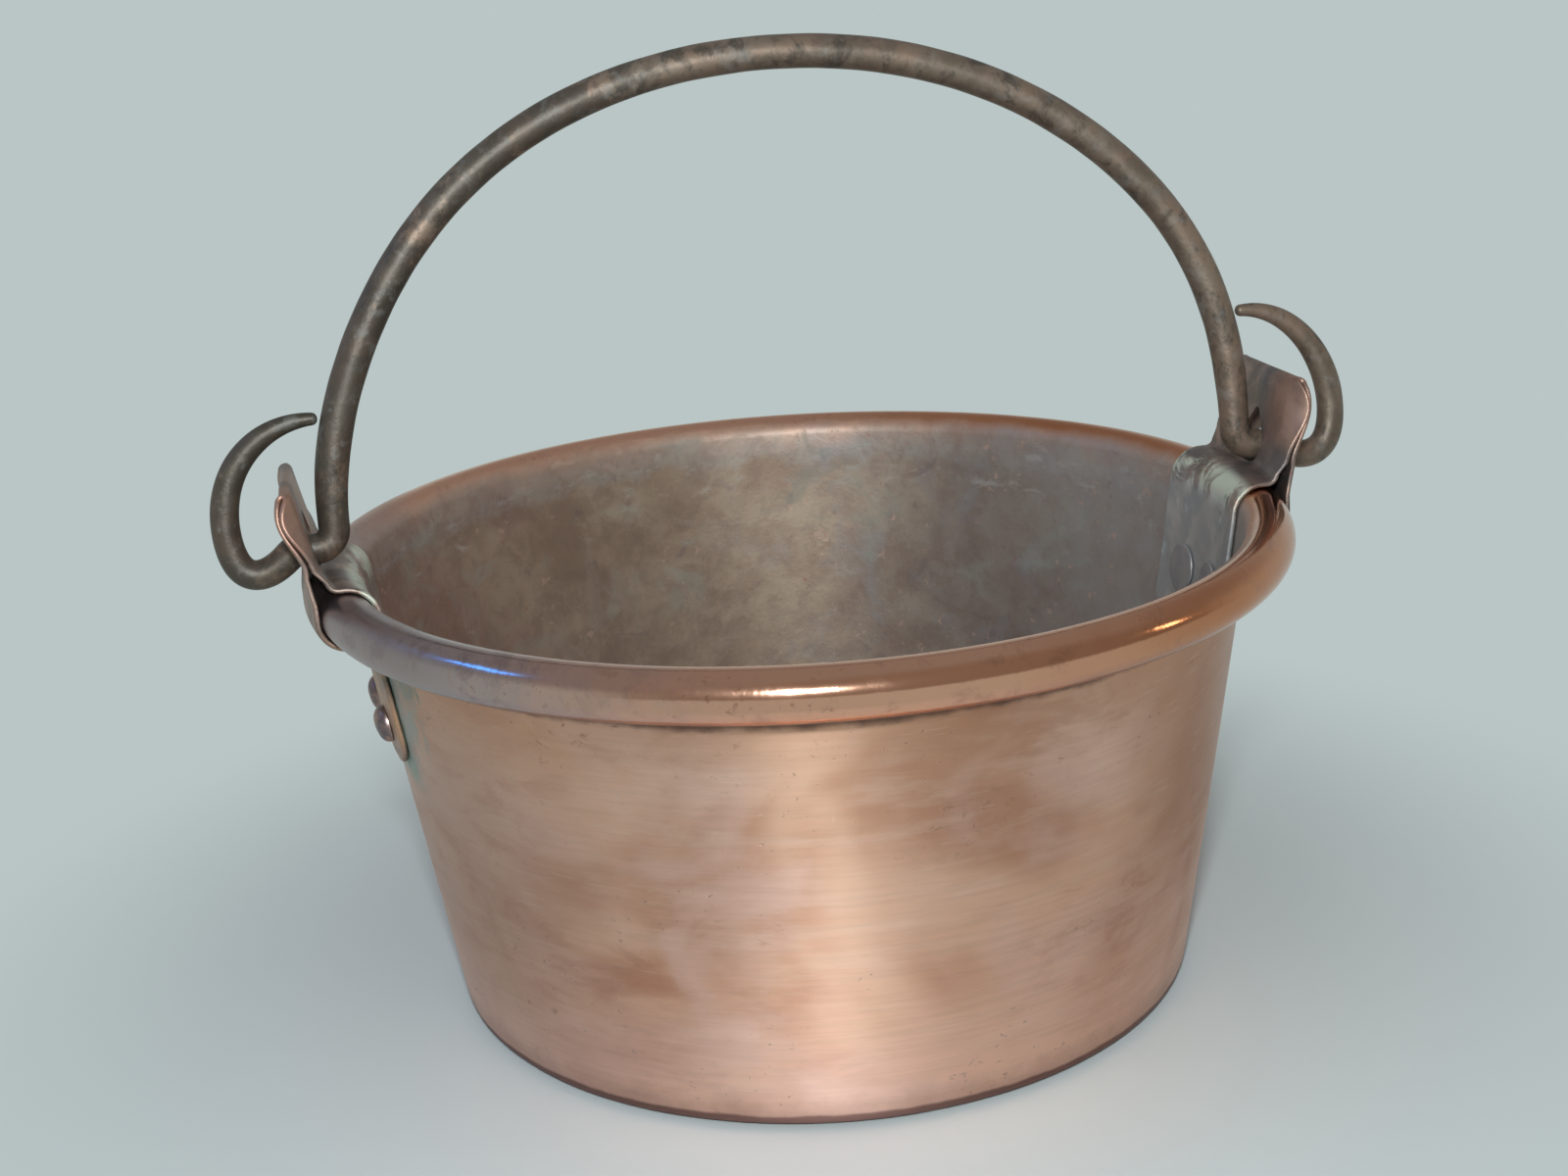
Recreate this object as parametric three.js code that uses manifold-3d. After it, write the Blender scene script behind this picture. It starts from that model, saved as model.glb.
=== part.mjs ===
// A copper polenta pot: a flaring bowl with a rim rolled round an iron hoop, two ears of doubled
// copper sheet riveted over the rim, and a forged iron bail with hooked ends that swings in them.
// Millimetres, +Z up. The origin is the middle of the base, on the surface that the pot stands on.
// The ears and the bail's hinge lie along X, a little in front of the middle; the front is -Y.

import * as THREE from 'three';
import { mergeVertices } from 'three/addons/utils/BufferGeometryUtils.js';
import Module from 'manifold-3d';

// Driving dimensions of the bowl
const RIM_RADIUS = 180;        // outside of the rolled rim
const ROLL_RADIUS = 8.9;       // outside of the roll's own tube
const ROLL_HEIGHT = 164.6;     // middle of the roll above the base
const BASE_RADIUS = 140.6;     // where the line of the wall's outer face meets the base plane
const BASE_CORNER = 5;         // outer radius between base and wall
const SHEET = 1.5;             // copper sheet of the bowl
const ROLL_END = -146;         // degrees round the roll where the sheet's edge lies, close to the wall
const HOOP_RADIUS = 6.9;       // iron hoop inside the roll

// Driving dimensions of the ears
const EAR_SHIFT = -6.6;        // Y of both ears, their rivets and the hinge
const EAR_SHEET = 1.8;         // copper strip, folded double
const LEG_HALF_WIDTH = 33.5;   // half the strip's width on the wall
const NECK_HALF_WIDTH = 32;    // at the hole
const HEAD_HALF_WIDTH = 33;    // at the head's shoulders, along the curved sheet
const FOLD_HALF_WIDTH = 21;    // along the fold
const SHOULDER = 13.5;         // from the head's shoulders up to the fold
const FLAT_HALF_WIDTH = 21;    // beyond this the head's sides curve outward
const FLARE_RADIUS = 12;       // how tightly they curve
const EAR_BOTTOM = 107;        // lower end of both legs
const EAR_TOP = { left: 207, right: 210.5 };       // middle of the sheet at the fold
const EAR_LEAN = 11;           // degrees that neck and head lean outward
const EAR_CORNER = 13;         // rounding of the legs' lower corners
const LEG_PITCH = 2.6;         // from leg to leg above the rim, middle to middle of the sheet
const EAR_REACH = { left: 176, right: 176.8 };   // from the pot's middle to each neck's inner face
const NECK_FOLLOW = 0.25;      // how closely the neck keeps to the pot's roundness, from 0 to 1
const SEAT_GAP = 0.5;          // between an ear and the bowl, before the facets take their share

// Driving dimensions of the rivets
const SHANK_RADIUS = 4;
const RIVET_SPREAD = { left: 17, right: 14 };      // each side of the ear's middle
const RIVET_HEIGHT = { left: 121, right: 131.5 };
const DOME_RADIUS = 6.8;       // outer head
const DOME_HEIGHT = 4.2;
const FLAT_RADIUS = 9.5;       // inner head, hammered almost flush
const FLAT_HEIGHT = 0.8;
const CLEARANCE = 0.3;         // round each shank
const DOME_GAP = 0.3;          // under the outer heads
const FLAT_GAP = 0.7;          // under the inner heads, which are flat inside a round wall

// Driving dimensions of the bail
const PIVOT_HEIGHT = 182.3;    // hinge axis above the base
const BAIL_SHIFT = 1;        // the bail lies a little to one side between the ears
const BAIL_LEAN = 6;           // degrees that it stands leaning back
const ARCH_HALF_WIDTH = 169.4;
const ARCH_TOP = 158.4;        // crown of the arch above the hinge axis
const ARCH_ROUNDNESS = 2.07;   // 2 is an ellipse, more is squarer
const ARCH_SWAY = 2.3;         // how far the arch's middle part is bent to the right
const ELBOW_RADIUS = 7;
const BAR_RADIUS = 6.1;        // the bar in the arch
const ELBOW_BAR_RADIUS = 5.6;  // and where it passes through the ear
const HOOK = {                 // furthest, highest and lowest of each hook's middle line
  left: { out: 206.3, top: 46.2, pull: -10.8 },
  right: { out: 209, top: 52, pull: -9 },
};
const HOOK_RADIUS = 5.1;       // halfway round the hook
const HOOK_TAPER = 0.55;       // share of it that is gone at the point
const HOOK_TIP_GAP = 1.2;      // from a hook's point to the arm

const COPPER = { color: 0xb87a5c, metalness: 1, roughness: 0.32 };
const DULL_COPPER = { color: 0x9a6f5c, metalness: 0.9, roughness: 0.45 };
const IRON = { color: 0x57483c, metalness: 0.8, roughness: 0.5 };

const wasm = await Module();
wasm.setup();

const radians = THREE.MathUtils.degToRad;
const smooth = THREE.MathUtils.smoothstep;
const pot = new THREE.Group();

// Closed meshes and booleans

function closedGeometry(vertices, triangles) {
  const loose = new THREE.BufferGeometry();
  loose.setAttribute('position', new THREE.Float32BufferAttribute(vertices, 3));
  loose.setIndex(triangles);
  return welded(loose);
}

function welded(geometry) {
  geometry.deleteAttribute('normal');
  geometry.deleteAttribute('uv');
  const merged = mergeVertices(geometry, 1e-4);
  const kept = [];
  const index = merged.index.array;
  for (let i = 0; i < index.length; i += 3) {
    const [a, b, c] = [index[i], index[i + 1], index[i + 2]];
    if (a !== b && b !== c && c !== a) kept.push(a, b, c);
  }
  if (signedVolume(merged.attributes.position, kept) < 0) kept.reverse();
  merged.setIndex(kept);
  return merged;
}

function signedVolume(position, index) {
  const [a, b, c] = [new THREE.Vector3(), new THREE.Vector3(), new THREE.Vector3()];
  let sum = 0;
  for (let i = 0; i < index.length; i += 3) {
    a.fromBufferAttribute(position, index[i]);
    b.fromBufferAttribute(position, index[i + 1]);
    c.fromBufferAttribute(position, index[i + 2]);
    sum += a.dot(b.cross(c)) / 6;
  }
  return sum;
}

function toSolid(geometry) {
  return new wasm.Manifold(new wasm.Mesh({
    numProp: 3,
    vertProperties: Float32Array.from(geometry.attributes.position.array),
    triVerts: Uint32Array.from(geometry.index.array),
  }));
}

function toGeometry(solid) {
  const mesh = solid.getMesh();
  const geometry = new THREE.BufferGeometry();
  geometry.setAttribute('position', new THREE.BufferAttribute(mesh.vertProperties, 3));
  geometry.setIndex(new THREE.BufferAttribute(mesh.triVerts, 1));
  return geometry;
}

// The same solid on the other side of the pot's middle plane
function mirrored(geometry) {
  const flipped = geometry.clone().scale(-1, 1, 1);
  flipped.index.array.reverse();
  return flipped;
}

function cutBy(geometry, cutters) {
  let solid = toSolid(geometry);
  for (const cutter of cutters) solid = solid.subtract(toSolid(cutter));
  return toGeometry(solid);
}

function addPiece(name, geometry, finish, parent = pot) {
  const mesh = new THREE.Mesh(geometry, new THREE.MeshStandardMaterial(finish));
  geometry.computeVertexNormals();
  mesh.name = name;
  parent.add(mesh);
  return mesh;
}

// The wall is a straight line that touches the roll, so its slope follows from the base and the rim

const ROLL_AXIS = RIM_RADIUS - ROLL_RADIUS;
const wallTilt = solveWallTilt();

function solveWallTilt() {
  let tilt = 0.1;
  for (let round = 0; round < 20; round += 1) {
    const touchRadius = ROLL_AXIS - (ROLL_RADIUS - SHEET) * Math.cos(tilt);
    const touchHeight = ROLL_HEIGHT + (ROLL_RADIUS - SHEET) * Math.sin(tilt);
    tilt = Math.atan2(touchRadius - BASE_RADIUS, touchHeight);
  }
  return tilt;
}

// Radius of the wall's outer face at a height, moved outward by a distance square to the wall
function wallRadius(height, offset = 0) {
  return BASE_RADIUS + height * Math.tan(wallTilt) + offset / Math.cos(wallTilt);
}

function arc(centreX, centreY, radius, fromDegrees, toDegrees, steps) {
  const points = [];
  for (let i = 0; i <= steps; i += 1) {
    const angle = radians(fromDegrees + (toDegrees - fromDegrees) * i / steps);
    points.push(new THREE.Vector2(centreX + radius * Math.cos(angle), centreY + radius * Math.sin(angle)));
  }
  return points;
}

function revolved(profile, segments) {
  return welded(new THREE.LatheGeometry(profile, segments).rotateX(Math.PI / 2));
}

// Bowl

function bowlGeometry() {
  const tilt = THREE.MathUtils.radToDeg(wallTilt);
  const touch = 180 - tilt;
  const outerCornerX = wallRadius(BASE_CORNER, -BASE_CORNER);
  const innerCorner = BASE_CORNER - SHEET;
  const profile = [
    new THREE.Vector2(0, 0),
    ...arc(outerCornerX, BASE_CORNER, BASE_CORNER, -90, -tilt, 4),
    ...arc(ROLL_AXIS, ROLL_HEIGHT, ROLL_RADIUS - SHEET, touch, ROLL_END, 12),
    ...arc(ROLL_AXIS, ROLL_HEIGHT, ROLL_RADIUS, ROLL_END, touch, 16),
    ...arc(outerCornerX, BASE_CORNER, innerCorner, -tilt, -90, 3),
    new THREE.Vector2(0, SHEET),
  ];
  return revolved(profile, 60);
}

function hoopGeometry() {
  return welded(new THREE.TorusGeometry(ROLL_AXIS, HOOP_RADIUS, 8, 60));
}

// Ears: a strip that follows a path in the plane of radius and height, then is bent sideways

// Corners of the path, each with its rounding and how closely the strip follows the pot's roundness
function earCorners(reach, top) {
  const rollOffset = ROLL_RADIUS + SEAT_GAP + EAR_SHEET / 2;
  const seat = ROLL_HEIGHT + rollOffset;
  const innerOffset = -SHEET - SEAT_GAP - EAR_SHEET / 2;
  const outerOffset = SEAT_GAP + EAR_SHEET / 2;
  const neck = reach + EAR_SHEET / 2;
  const lean = Math.tan(radians(EAR_LEAN));
  const innerRadius = height => neck + Math.max(0, height - PIVOT_HEIGHT) * lean;
  const foldHeight = top + EAR_SHEET / 2;
  const underRoll = ROLL_HEIGHT - rollOffset;
  return [
    { r: wallRadius(EAR_BOTTOM, innerOffset), z: EAR_BOTTOM, round: 0, follow: 1 },
    { r: wallRadius(seat, innerOffset), z: seat, round: rollOffset, follow: 1 },
    { r: neck - 0.8, z: seat, round: 3.6, follow: 1 },
    { r: neck, z: PIVOT_HEIGHT, round: 0, follow: NECK_FOLLOW },
    { r: innerRadius(foldHeight), z: foldHeight, round: LEG_PITCH / 2, follow: 0 },
    { r: innerRadius(foldHeight) + LEG_PITCH, z: foldHeight, round: LEG_PITCH / 2, follow: 0 },
    { r: neck + LEG_PITCH, z: PIVOT_HEIGHT, round: 12, follow: NECK_FOLLOW },
    { r: ROLL_AXIS + rollOffset, z: ROLL_HEIGHT + 5, round: 8, follow: 1 },
    { r: ROLL_AXIS + rollOffset, z: underRoll, round: rollOffset * 0.96, follow: 1 },
    { r: wallRadius(underRoll, outerOffset) + 4, z: underRoll, round: 3, follow: 1 },
    { r: wallRadius(underRoll - 8, outerOffset), z: underRoll - 8, round: 6, follow: 1 },
    { r: wallRadius(EAR_BOTTOM, outerOffset), z: EAR_BOTTOM, round: 0, follow: 1 },
  ];
}

// Points along the corners, with each corner rounded and long stretches divided
function roundedPath(corners, longest, sweep) {
  const points = [];
  const push = (position, follow) => {
    const last = points.at(-1);
    if (last && last.position.distanceTo(position) < 1e-3) return;
    if (last) {
      const gap = last.position.distanceTo(position);
      const pieces = Math.max(1, Math.ceil(gap / longest(Math.max(last.position.y, position.y))));
      for (let i = 1; i < pieces; i += 1) {
        const share = i / pieces;
        points.push({
          position: last.position.clone().lerp(position, share),
          follow: last.follow + (follow - last.follow) * share,
        });
      }
    }
    points.push({ position, follow });
  };
  corners.forEach((corner, i) => {
    const here = new THREE.Vector2(corner.r, corner.z);
    if (corner.round === 0) {
      push(here, corner.follow);
      return;
    }
    const before = new THREE.Vector2(corners[i - 1].r, corners[i - 1].z).sub(here).normalize();
    const after = new THREE.Vector2(corners[i + 1].r, corners[i + 1].z).sub(here).normalize();
    const half = Math.acos(THREE.MathUtils.clamp(before.dot(after), -1, 1)) / 2;
    const centre = before.clone().add(after).normalize().multiplyScalar(corner.round / Math.sin(half)).add(here);
    const start = before.clone().multiplyScalar(corner.round / Math.tan(half)).add(here).sub(centre);
    const end = after.clone().multiplyScalar(corner.round / Math.tan(half)).add(here).sub(centre);
    const turn = Math.atan2(start.cross(end), start.dot(end));
    const steps = Math.max(1, Math.ceil(Math.abs(turn) / sweep));
    for (let k = 0; k <= steps; k += 1) {
      push(start.clone().rotateAround(new THREE.Vector2(), turn * k / steps).add(centre), corner.follow);
    }
  });
  return points;
}

// Half the strip's width, measured along the sheet, at a height
function earHalfWidth(height, top) {
  const legEnd = EAR_BOTTOM + EAR_CORNER;
  if (height < legEnd) {
    const drop = (legEnd - height) / EAR_CORNER;
    return LEG_HALF_WIDTH - EAR_CORNER * (1 - Math.sqrt(Math.max(0, 1 - drop * drop)));
  }
  const shoulder = top + EAR_SHEET - SHOULDER;
  if (height < shoulder) {
    return LEG_HALF_WIDTH + (NECK_HALF_WIDTH - LEG_HALF_WIDTH) * smooth(height, 160, 180)
      + (HEAD_HALF_WIDTH - NECK_HALF_WIDTH) * smooth(height, 182, shoulder);
  }
  const rise = Math.min(1, (height - shoulder) / SHOULDER);
  return FOLD_HALF_WIDTH + (HEAD_HALF_WIDTH - FOLD_HALF_WIDTH) * Math.sqrt(1 - rise * rise);
}

// Where a point of the strip lies: its sides flare outward in the head and follow the pot below it
function placeOnEar(radius, height, across, follow, reach) {
  const flare = smooth(height, 184, 203) / FLARE_RADIUS;
  const plane = reach + EAR_SHEET / 2 + Math.max(0, height - PIVOT_HEIGHT) * Math.tan(radians(EAR_LEAN));
  const beyond = Math.abs(across) - FLAT_HALF_WIDTH;
  let x = radius;
  let y = across;
  if (flare > 1e-6 && beyond > 0) {
    const bend = beyond * flare;
    const outward = radius - plane;
    x = plane + outward * Math.cos(bend) + (1 - Math.cos(bend)) / flare;
    y = Math.sign(across) * (FLAT_HALF_WIDTH + (1 / flare - outward) * Math.sin(bend));
  }
  x -= follow * (radius - Math.sqrt(radius * radius - (y + EAR_SHIFT) ** 2));
  return [x, y, height];
}

function earStrip(reach, top) {
  const legEnd = EAR_BOTTOM + EAR_CORNER;
  const longest = height => (height > 176 ? 4.5 : height < legEnd + 1 ? 4.4 : 30);
  const path = roundedPath(earCorners(reach, top), longest, radians(27));
  const columns = [-1, -0.86, -0.72, -0.5, 0, 0.5, 0.72, 0.86, 1];
  const vertices = [];
  path.forEach((point, i) => {
    const previous = path[Math.max(0, i - 1)].position;
    const next = path[Math.min(path.length - 1, i + 1)].position;
    const along = next.clone().sub(previous).normalize();
    const across = new THREE.Vector2(-along.y, along.x);
    const halfWidth = earHalfWidth(point.position.y, top);
    for (const side of [EAR_SHEET / 2, -EAR_SHEET / 2]) {
      const face = point.position.clone().addScaledVector(across, side);
      for (const column of columns) {
        vertices.push(...placeOnEar(face.x, face.y, column * halfWidth, point.follow, reach));
      }
    }
  });
  return closedGeometry(vertices, sleeveTriangles(path.length, columns.length));
}

// Triangles of a strip whose rings run along one face and back along the other
function sleeveTriangles(rings, columns) {
  const triangles = [];
  const size = 2 * columns;
  const at = (ring, k) => ring * size + (k < columns ? k : size - 1 - (k - columns));
  for (let ring = 0; ring < rings - 1; ring += 1) {
    for (let k = 0; k < size; k += 1) {
      const next = (k + 1) % size;
      triangles.push(at(ring, k), at(ring + 1, k), at(ring + 1, next));
      triangles.push(at(ring, k), at(ring + 1, next), at(ring, next));
    }
  }
  for (let k = 0; k < columns - 1; k += 1) {
    const last = rings - 1;
    const [a, b, c, d] = [k, k + 1, size - 2 - k, size - 1 - k];
    triangles.push(at(0, a), at(0, b), at(0, c), at(0, a), at(0, c), at(0, d));
    triangles.push(at(last, b), at(last, a), at(last, d), at(last, b), at(last, d), at(last, c));
  }
  return triangles;
}

// The bail's hole: round below, where the bar bears, and drawn up to a rounded point
function holeCutter(reach) {
  const outline = new THREE.Shape();
  const [roundRadius, roundHeight] = [8.6, PIVOT_HEIGHT + 2.2];
  const [tipRadius, tipHeight] = [2.2, PIVOT_HEIGHT + 12.4];
  const flank = Math.asin((roundRadius - tipRadius) / (tipHeight - roundHeight));
  outline.absarc(roundHeight, 0, roundRadius, Math.PI / 2 - flank, -Math.PI / 2 + flank, false);
  outline.absarc(tipHeight, 0, tipRadius, -Math.PI / 2 + flank, Math.PI / 2 - flank, false);
  const depth = 14;
  const cutter = new THREE.ExtrudeGeometry(outline, { depth, bevelEnabled: false, curveSegments: 10 });
  const upright = new THREE.Matrix4().makeBasis(
    new THREE.Vector3(0, 0, 1), new THREE.Vector3(0, 1, 0), new THREE.Vector3(-1, 0, 0));
  return welded(cutter.applyMatrix4(upright).translate(reach - 1.6 + depth, 0, 0));
}

// Rivets, along a line square to the wall through the middle of each hole

function rivetFrame(side, height, y) {
  const radius = wallRadius(height, -SHEET / 2);
  const turn = Math.asin(y / radius);
  const frame = new THREE.Object3D();
  frame.rotation.order = 'ZYX';
  frame.rotation.z = side > 0 ? turn : Math.PI - turn;
  frame.rotation.y = wallTilt;
  frame.position.set(side * radius * Math.cos(turn), y, height);
  frame.updateMatrix();
  return frame;
}

// Turned about the frame's X axis, which points outward
function turnedAlongX(profile, segments) {
  return welded(new THREE.LatheGeometry(profile, segments).rotateZ(-Math.PI / 2));
}

function rivetGeometry() {
  const stack = SHEET / 2 + SEAT_GAP + EAR_SHEET;
  const outer = stack + DOME_GAP;
  const inner = -stack - FLAT_GAP;
  const dome = [];
  const domeSteps = 3;
  for (let i = 0; i <= domeSteps; i += 1) {
    const angle = Math.PI / 2 * i / domeSteps;
    dome.push(new THREE.Vector2(DOME_RADIUS * Math.cos(angle), outer + DOME_HEIGHT * Math.sin(angle)));
  }
  dome.at(-1).x = 0;
  return turnedAlongX([
    new THREE.Vector2(0, inner - FLAT_HEIGHT),
    new THREE.Vector2(FLAT_RADIUS - 0.8, inner - FLAT_HEIGHT),
    new THREE.Vector2(FLAT_RADIUS, inner - FLAT_HEIGHT / 2),
    new THREE.Vector2(FLAT_RADIUS, inner),
    new THREE.Vector2(SHANK_RADIUS, inner),
    new THREE.Vector2(SHANK_RADIUS, outer),
    ...dome,
  ], 16);
}

function rivetHoleCutter() {
  const radius = SHANK_RADIUS + CLEARANCE;
  return turnedAlongX([
    new THREE.Vector2(0, -12),
    new THREE.Vector2(radius, -12),
    new THREE.Vector2(radius, 12),
    new THREE.Vector2(0, 12),
  ], 16);
}

// Bail: a bar lofted along a middle line in its own upright plane, with the hinge axis at the origin

// Half of the middle line, from the crown of the arch to one hook's point; side is -1 for the left half
function bailHalfLine(hook, side) {
  const line = [];
  const put = (x, z, inPlane, acrossPlane = inPlane) => line.push({ x, z, inPlane, acrossPlane });
  const archSteps = 23;
  for (let i = 0; i < archSteps; i += 1) {
    const angle = Math.PI / 2 * (1 - i / archSteps);
    const rise = Math.sin(angle) ** (2 / ARCH_ROUNDNESS);
    const thin = smooth(i, archSteps - 3, archSteps);
    put(archReach(rise, side), ELBOW_RADIUS + (ARCH_TOP - ELBOW_RADIUS) * rise,
      BAR_RADIUS + (ELBOW_BAR_RADIUS - BAR_RADIUS) * thin);
  }
  const elbowSteps = 6;
  for (let i = 0; i <= elbowSteps; i += 1) {
    const angle = Math.PI + Math.PI / 2 * i / elbowSteps;
    put(ARCH_HALF_WIDTH + ELBOW_RADIUS * (1 + Math.cos(angle)), ELBOW_RADIUS * (1 + Math.sin(angle)),
      ELBOW_BAR_RADIUS);
  }
  const outside = 184.5;
  const belly = new THREE.CubicBezierCurve(
    new THREE.Vector2(outside, 0), new THREE.Vector2(195, hook.pull),
    new THREE.Vector2(hook.out, hook.pull), new THREE.Vector2(hook.out, 11));
  const crown = new THREE.CubicBezierCurve(
    new THREE.Vector2(hook.out, 11), new THREE.Vector2(hook.out, 31.3),
    new THREE.Vector2(hook.out - 15, hook.top), new THREE.Vector2(hookTip(hook, side), hook.top - 0.4));
  const hookSteps = 9;
  for (let i = 0; i <= hookSteps; i += 1) {
    const point = belly.getPoint(i / hookSteps);
    put(point.x, point.y, ELBOW_BAR_RADIUS + (HOOK_RADIUS - ELBOW_BAR_RADIUS) * i / hookSteps);
  }
  for (let i = 1; i <= hookSteps; i += 1) {
    const share = i / hookSteps;
    const point = crown.getPoint(share);
    const radius = HOOK_RADIUS * (1 - HOOK_TAPER * share ** 2);
    put(point.x, point.y, radius, radius * 0.96);
  }
  const tip = line.at(-1);
  put(tip.x - tip.inPlane * 0.6, tip.z, tip.inPlane * 0.6);
  return line;
}

// How far the arch's middle line lies from its centre, at a share of its height
function archReach(rise, side) {
  const sway = side * ARCH_SWAY * Math.sin(Math.PI * rise) ** 2;
  return ARCH_HALF_WIDTH * (1 - rise ** ARCH_ROUNDNESS) ** (1 / ARCH_ROUNDNESS) + sway;
}

// The last full ring of a hook, whose blunt point stops short of the arm's outer face
function hookTip(hook, side) {
  const rise = (hook.top - ELBOW_RADIUS) / (ARCH_TOP - ELBOW_RADIUS);
  const blunt = 0.6 * HOOK_RADIUS * (1 - HOOK_TAPER);
  return archReach(rise, side) + BAR_RADIUS + HOOK_TIP_GAP + blunt;
}

function bailGeometry() {
  const leftHalf = bailHalfLine(HOOK.left, -1).slice(1).reverse().map(station => ({ ...station, x: -station.x }));
  const line = [...leftHalf, ...bailHalfLine(HOOK.right, 1)];
  const sides = 10;
  const vertices = [];
  line.forEach((station, i) => {
    const previous = line[Math.max(0, i - 1)];
    const next = line[Math.min(line.length - 1, i + 1)];
    const along = new THREE.Vector2(next.x - previous.x, next.z - previous.z).normalize();
    for (let k = 0; k < sides; k += 1) {
      const angle = 2 * Math.PI * k / sides;
      const up = station.inPlane * Math.cos(angle);
      vertices.push(station.x - along.y * up, station.acrossPlane * Math.sin(angle), station.z + along.x * up);
    }
  });
  const triangles = [];
  for (let ring = 0; ring < line.length - 1; ring += 1) {
    for (let k = 0; k < sides; k += 1) {
      const [a, b] = [ring * sides + k, ring * sides + (k + 1) % sides];
      triangles.push(a, b, b + sides, a, b + sides, a + sides);
    }
  }
  const last = (line.length - 1) * sides;
  for (let k = 1; k < sides - 1; k += 1) {
    triangles.push(0, k + 1, k, last, last + k, last + k + 1);
  }
  return closedGeometry(vertices, triangles);
}

// The pot put together

const rivets = [];
for (const [name, side] of [['left', -1], ['right', 1]]) {
  for (const [place, end] of [['front', -1], ['back', 1]]) {
    const frame = rivetFrame(side, RIVET_HEIGHT[name], EAR_SHIFT + end * RIVET_SPREAD[name]);
    rivets.push({ name: `rivet_${name}_${place}`, ear: name, frame });
  }
}

const holes = rivet => rivetHoleCutter().applyMatrix4(rivet.frame.matrix);
addPiece('bowl', cutBy(bowlGeometry(), rivets.map(holes)), COPPER);
addPiece('rim_hoop', hoopGeometry().translate(0, 0, ROLL_HEIGHT), IRON);

for (const name of ['left', 'right']) {
  const ear = cutBy(earStrip(EAR_REACH[name], EAR_TOP[name]), [holeCutter(EAR_REACH[name])]);
  const placed = ear.translate(0, EAR_SHIFT, 0);
  const facing = name === 'left' ? mirrored(placed) : placed;
  addPiece(`ear_${name}`, cutBy(facing, rivets.filter(rivet => rivet.ear === name).map(holes)), DULL_COPPER);
}

for (const rivet of rivets) {
  addPiece(rivet.name, rivetGeometry().applyMatrix4(rivet.frame.matrix), DULL_COPPER);
}

const swing = new THREE.Group();
swing.position.set(BAIL_SHIFT, EAR_SHIFT, PIVOT_HEIGHT);
swing.rotation.x = -radians(BAIL_LEAN);
pot.add(swing);
addPiece('bail', bailGeometry(), IRON, swing);

export default pot;
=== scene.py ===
import math
from math import radians

import bmesh
import bpy
from mathutils import Matrix, Vector, noise


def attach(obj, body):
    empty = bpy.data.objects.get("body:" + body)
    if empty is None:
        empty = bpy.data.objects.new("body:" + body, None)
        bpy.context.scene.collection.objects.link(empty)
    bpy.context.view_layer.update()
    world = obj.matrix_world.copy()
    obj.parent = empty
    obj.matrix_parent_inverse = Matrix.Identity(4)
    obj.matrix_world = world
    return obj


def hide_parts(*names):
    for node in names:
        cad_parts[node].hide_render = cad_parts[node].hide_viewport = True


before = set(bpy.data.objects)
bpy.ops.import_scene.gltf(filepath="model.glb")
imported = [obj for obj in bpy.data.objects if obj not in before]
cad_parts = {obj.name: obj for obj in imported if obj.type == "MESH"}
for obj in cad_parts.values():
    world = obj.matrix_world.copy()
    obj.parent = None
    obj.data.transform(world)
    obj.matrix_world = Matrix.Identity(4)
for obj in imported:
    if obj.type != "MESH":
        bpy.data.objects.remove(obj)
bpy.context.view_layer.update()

# A copper polenta pot: raised bowl with a rolled rim, two folded ears, four rivets and a forged bail.
# Shapes are worked out in millimetres and become metres when a mesh is made. +X is the right ear,
# -Y the front. The rim hoop keeps its own solid, because the roll hides it.

# Sizes of the bowl

RIM_RADIUS = 180
ROLL_RADIUS = 8.9              # of the roll's section
ROLL_HEIGHT = 164.6            # middle of the roll
ROLL_AXIS = RIM_RADIUS - ROLL_RADIUS
ROLL_END = -146                # degrees round the roll where the sheet's edge lies
BASE_RADIUS = 140.6
BASE_CORNER = 5
SHEET = 1.5
LONG_WAVE = 0.42               # the raised wall's unevenness, in long waves and in short ones
SHORT_WAVE = 0.16
ROLL_WAVE = 0.1
BASE_SPRING = 1.1              # how far the base stands up in the middle
BASE_DIMPLES = 0.18
BOWL_SEGMENTS = 288
PINHOLE = 0.01                 # radius left open on the axis of a turned profile

# Sizes of the ears

EAR_SHIFT = -6.6               # Y of the ears, the rivets and the hinge
EAR_SHEET = 1.8
LEG_HALF_WIDTH = 33.5
NECK_HALF_WIDTH = 32
HEAD_HALF_WIDTH = 33
FOLD_HALF_WIDTH = 21
SHOULDER = 13.5                # from the head's shoulders up to the fold
FLAT_HALF_WIDTH = 21           # beyond this the head's sides curve outward
FLARE_RADIUS = 12
FLARE_HEIGHTS = (184, 203)     # where the sides begin to curve and where they curve fully
EAR_BOTTOM = 107
EAR_TOP = {"left": 207, "right": 210.5}
EAR_LEAN = 11                  # degrees that the head leans outward
EAR_CORNER = 13                # rounding of the legs' corners
EAR_EDGE = 0.75                # how far in from the strip's sides their rounding begins
LEG_PITCH = 2.6                # from leg to leg above the rim
EAR_REACH = {"left": 176, "right": 176.8}    # from the pot's axis to the neck's inner face
NECK_FOLLOW = 0.25             # how closely the neck keeps to the pot's round
SEAT_GAP = 0.5                 # between an ear and the sheet that it lies on
WIDE_HOLE = (8.6, 2.2, 2.2, 12.4)    # inner layer: radius and height of the round part, then the point's
CLOSE_HOLE = (6.1, 0.1, 5.95, 0.3)   # outer layer: the same
END_THINNING = (0.45, 0.85)    # share of the thickness left at the strip's last two rings

# Sizes of the rivets

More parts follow.
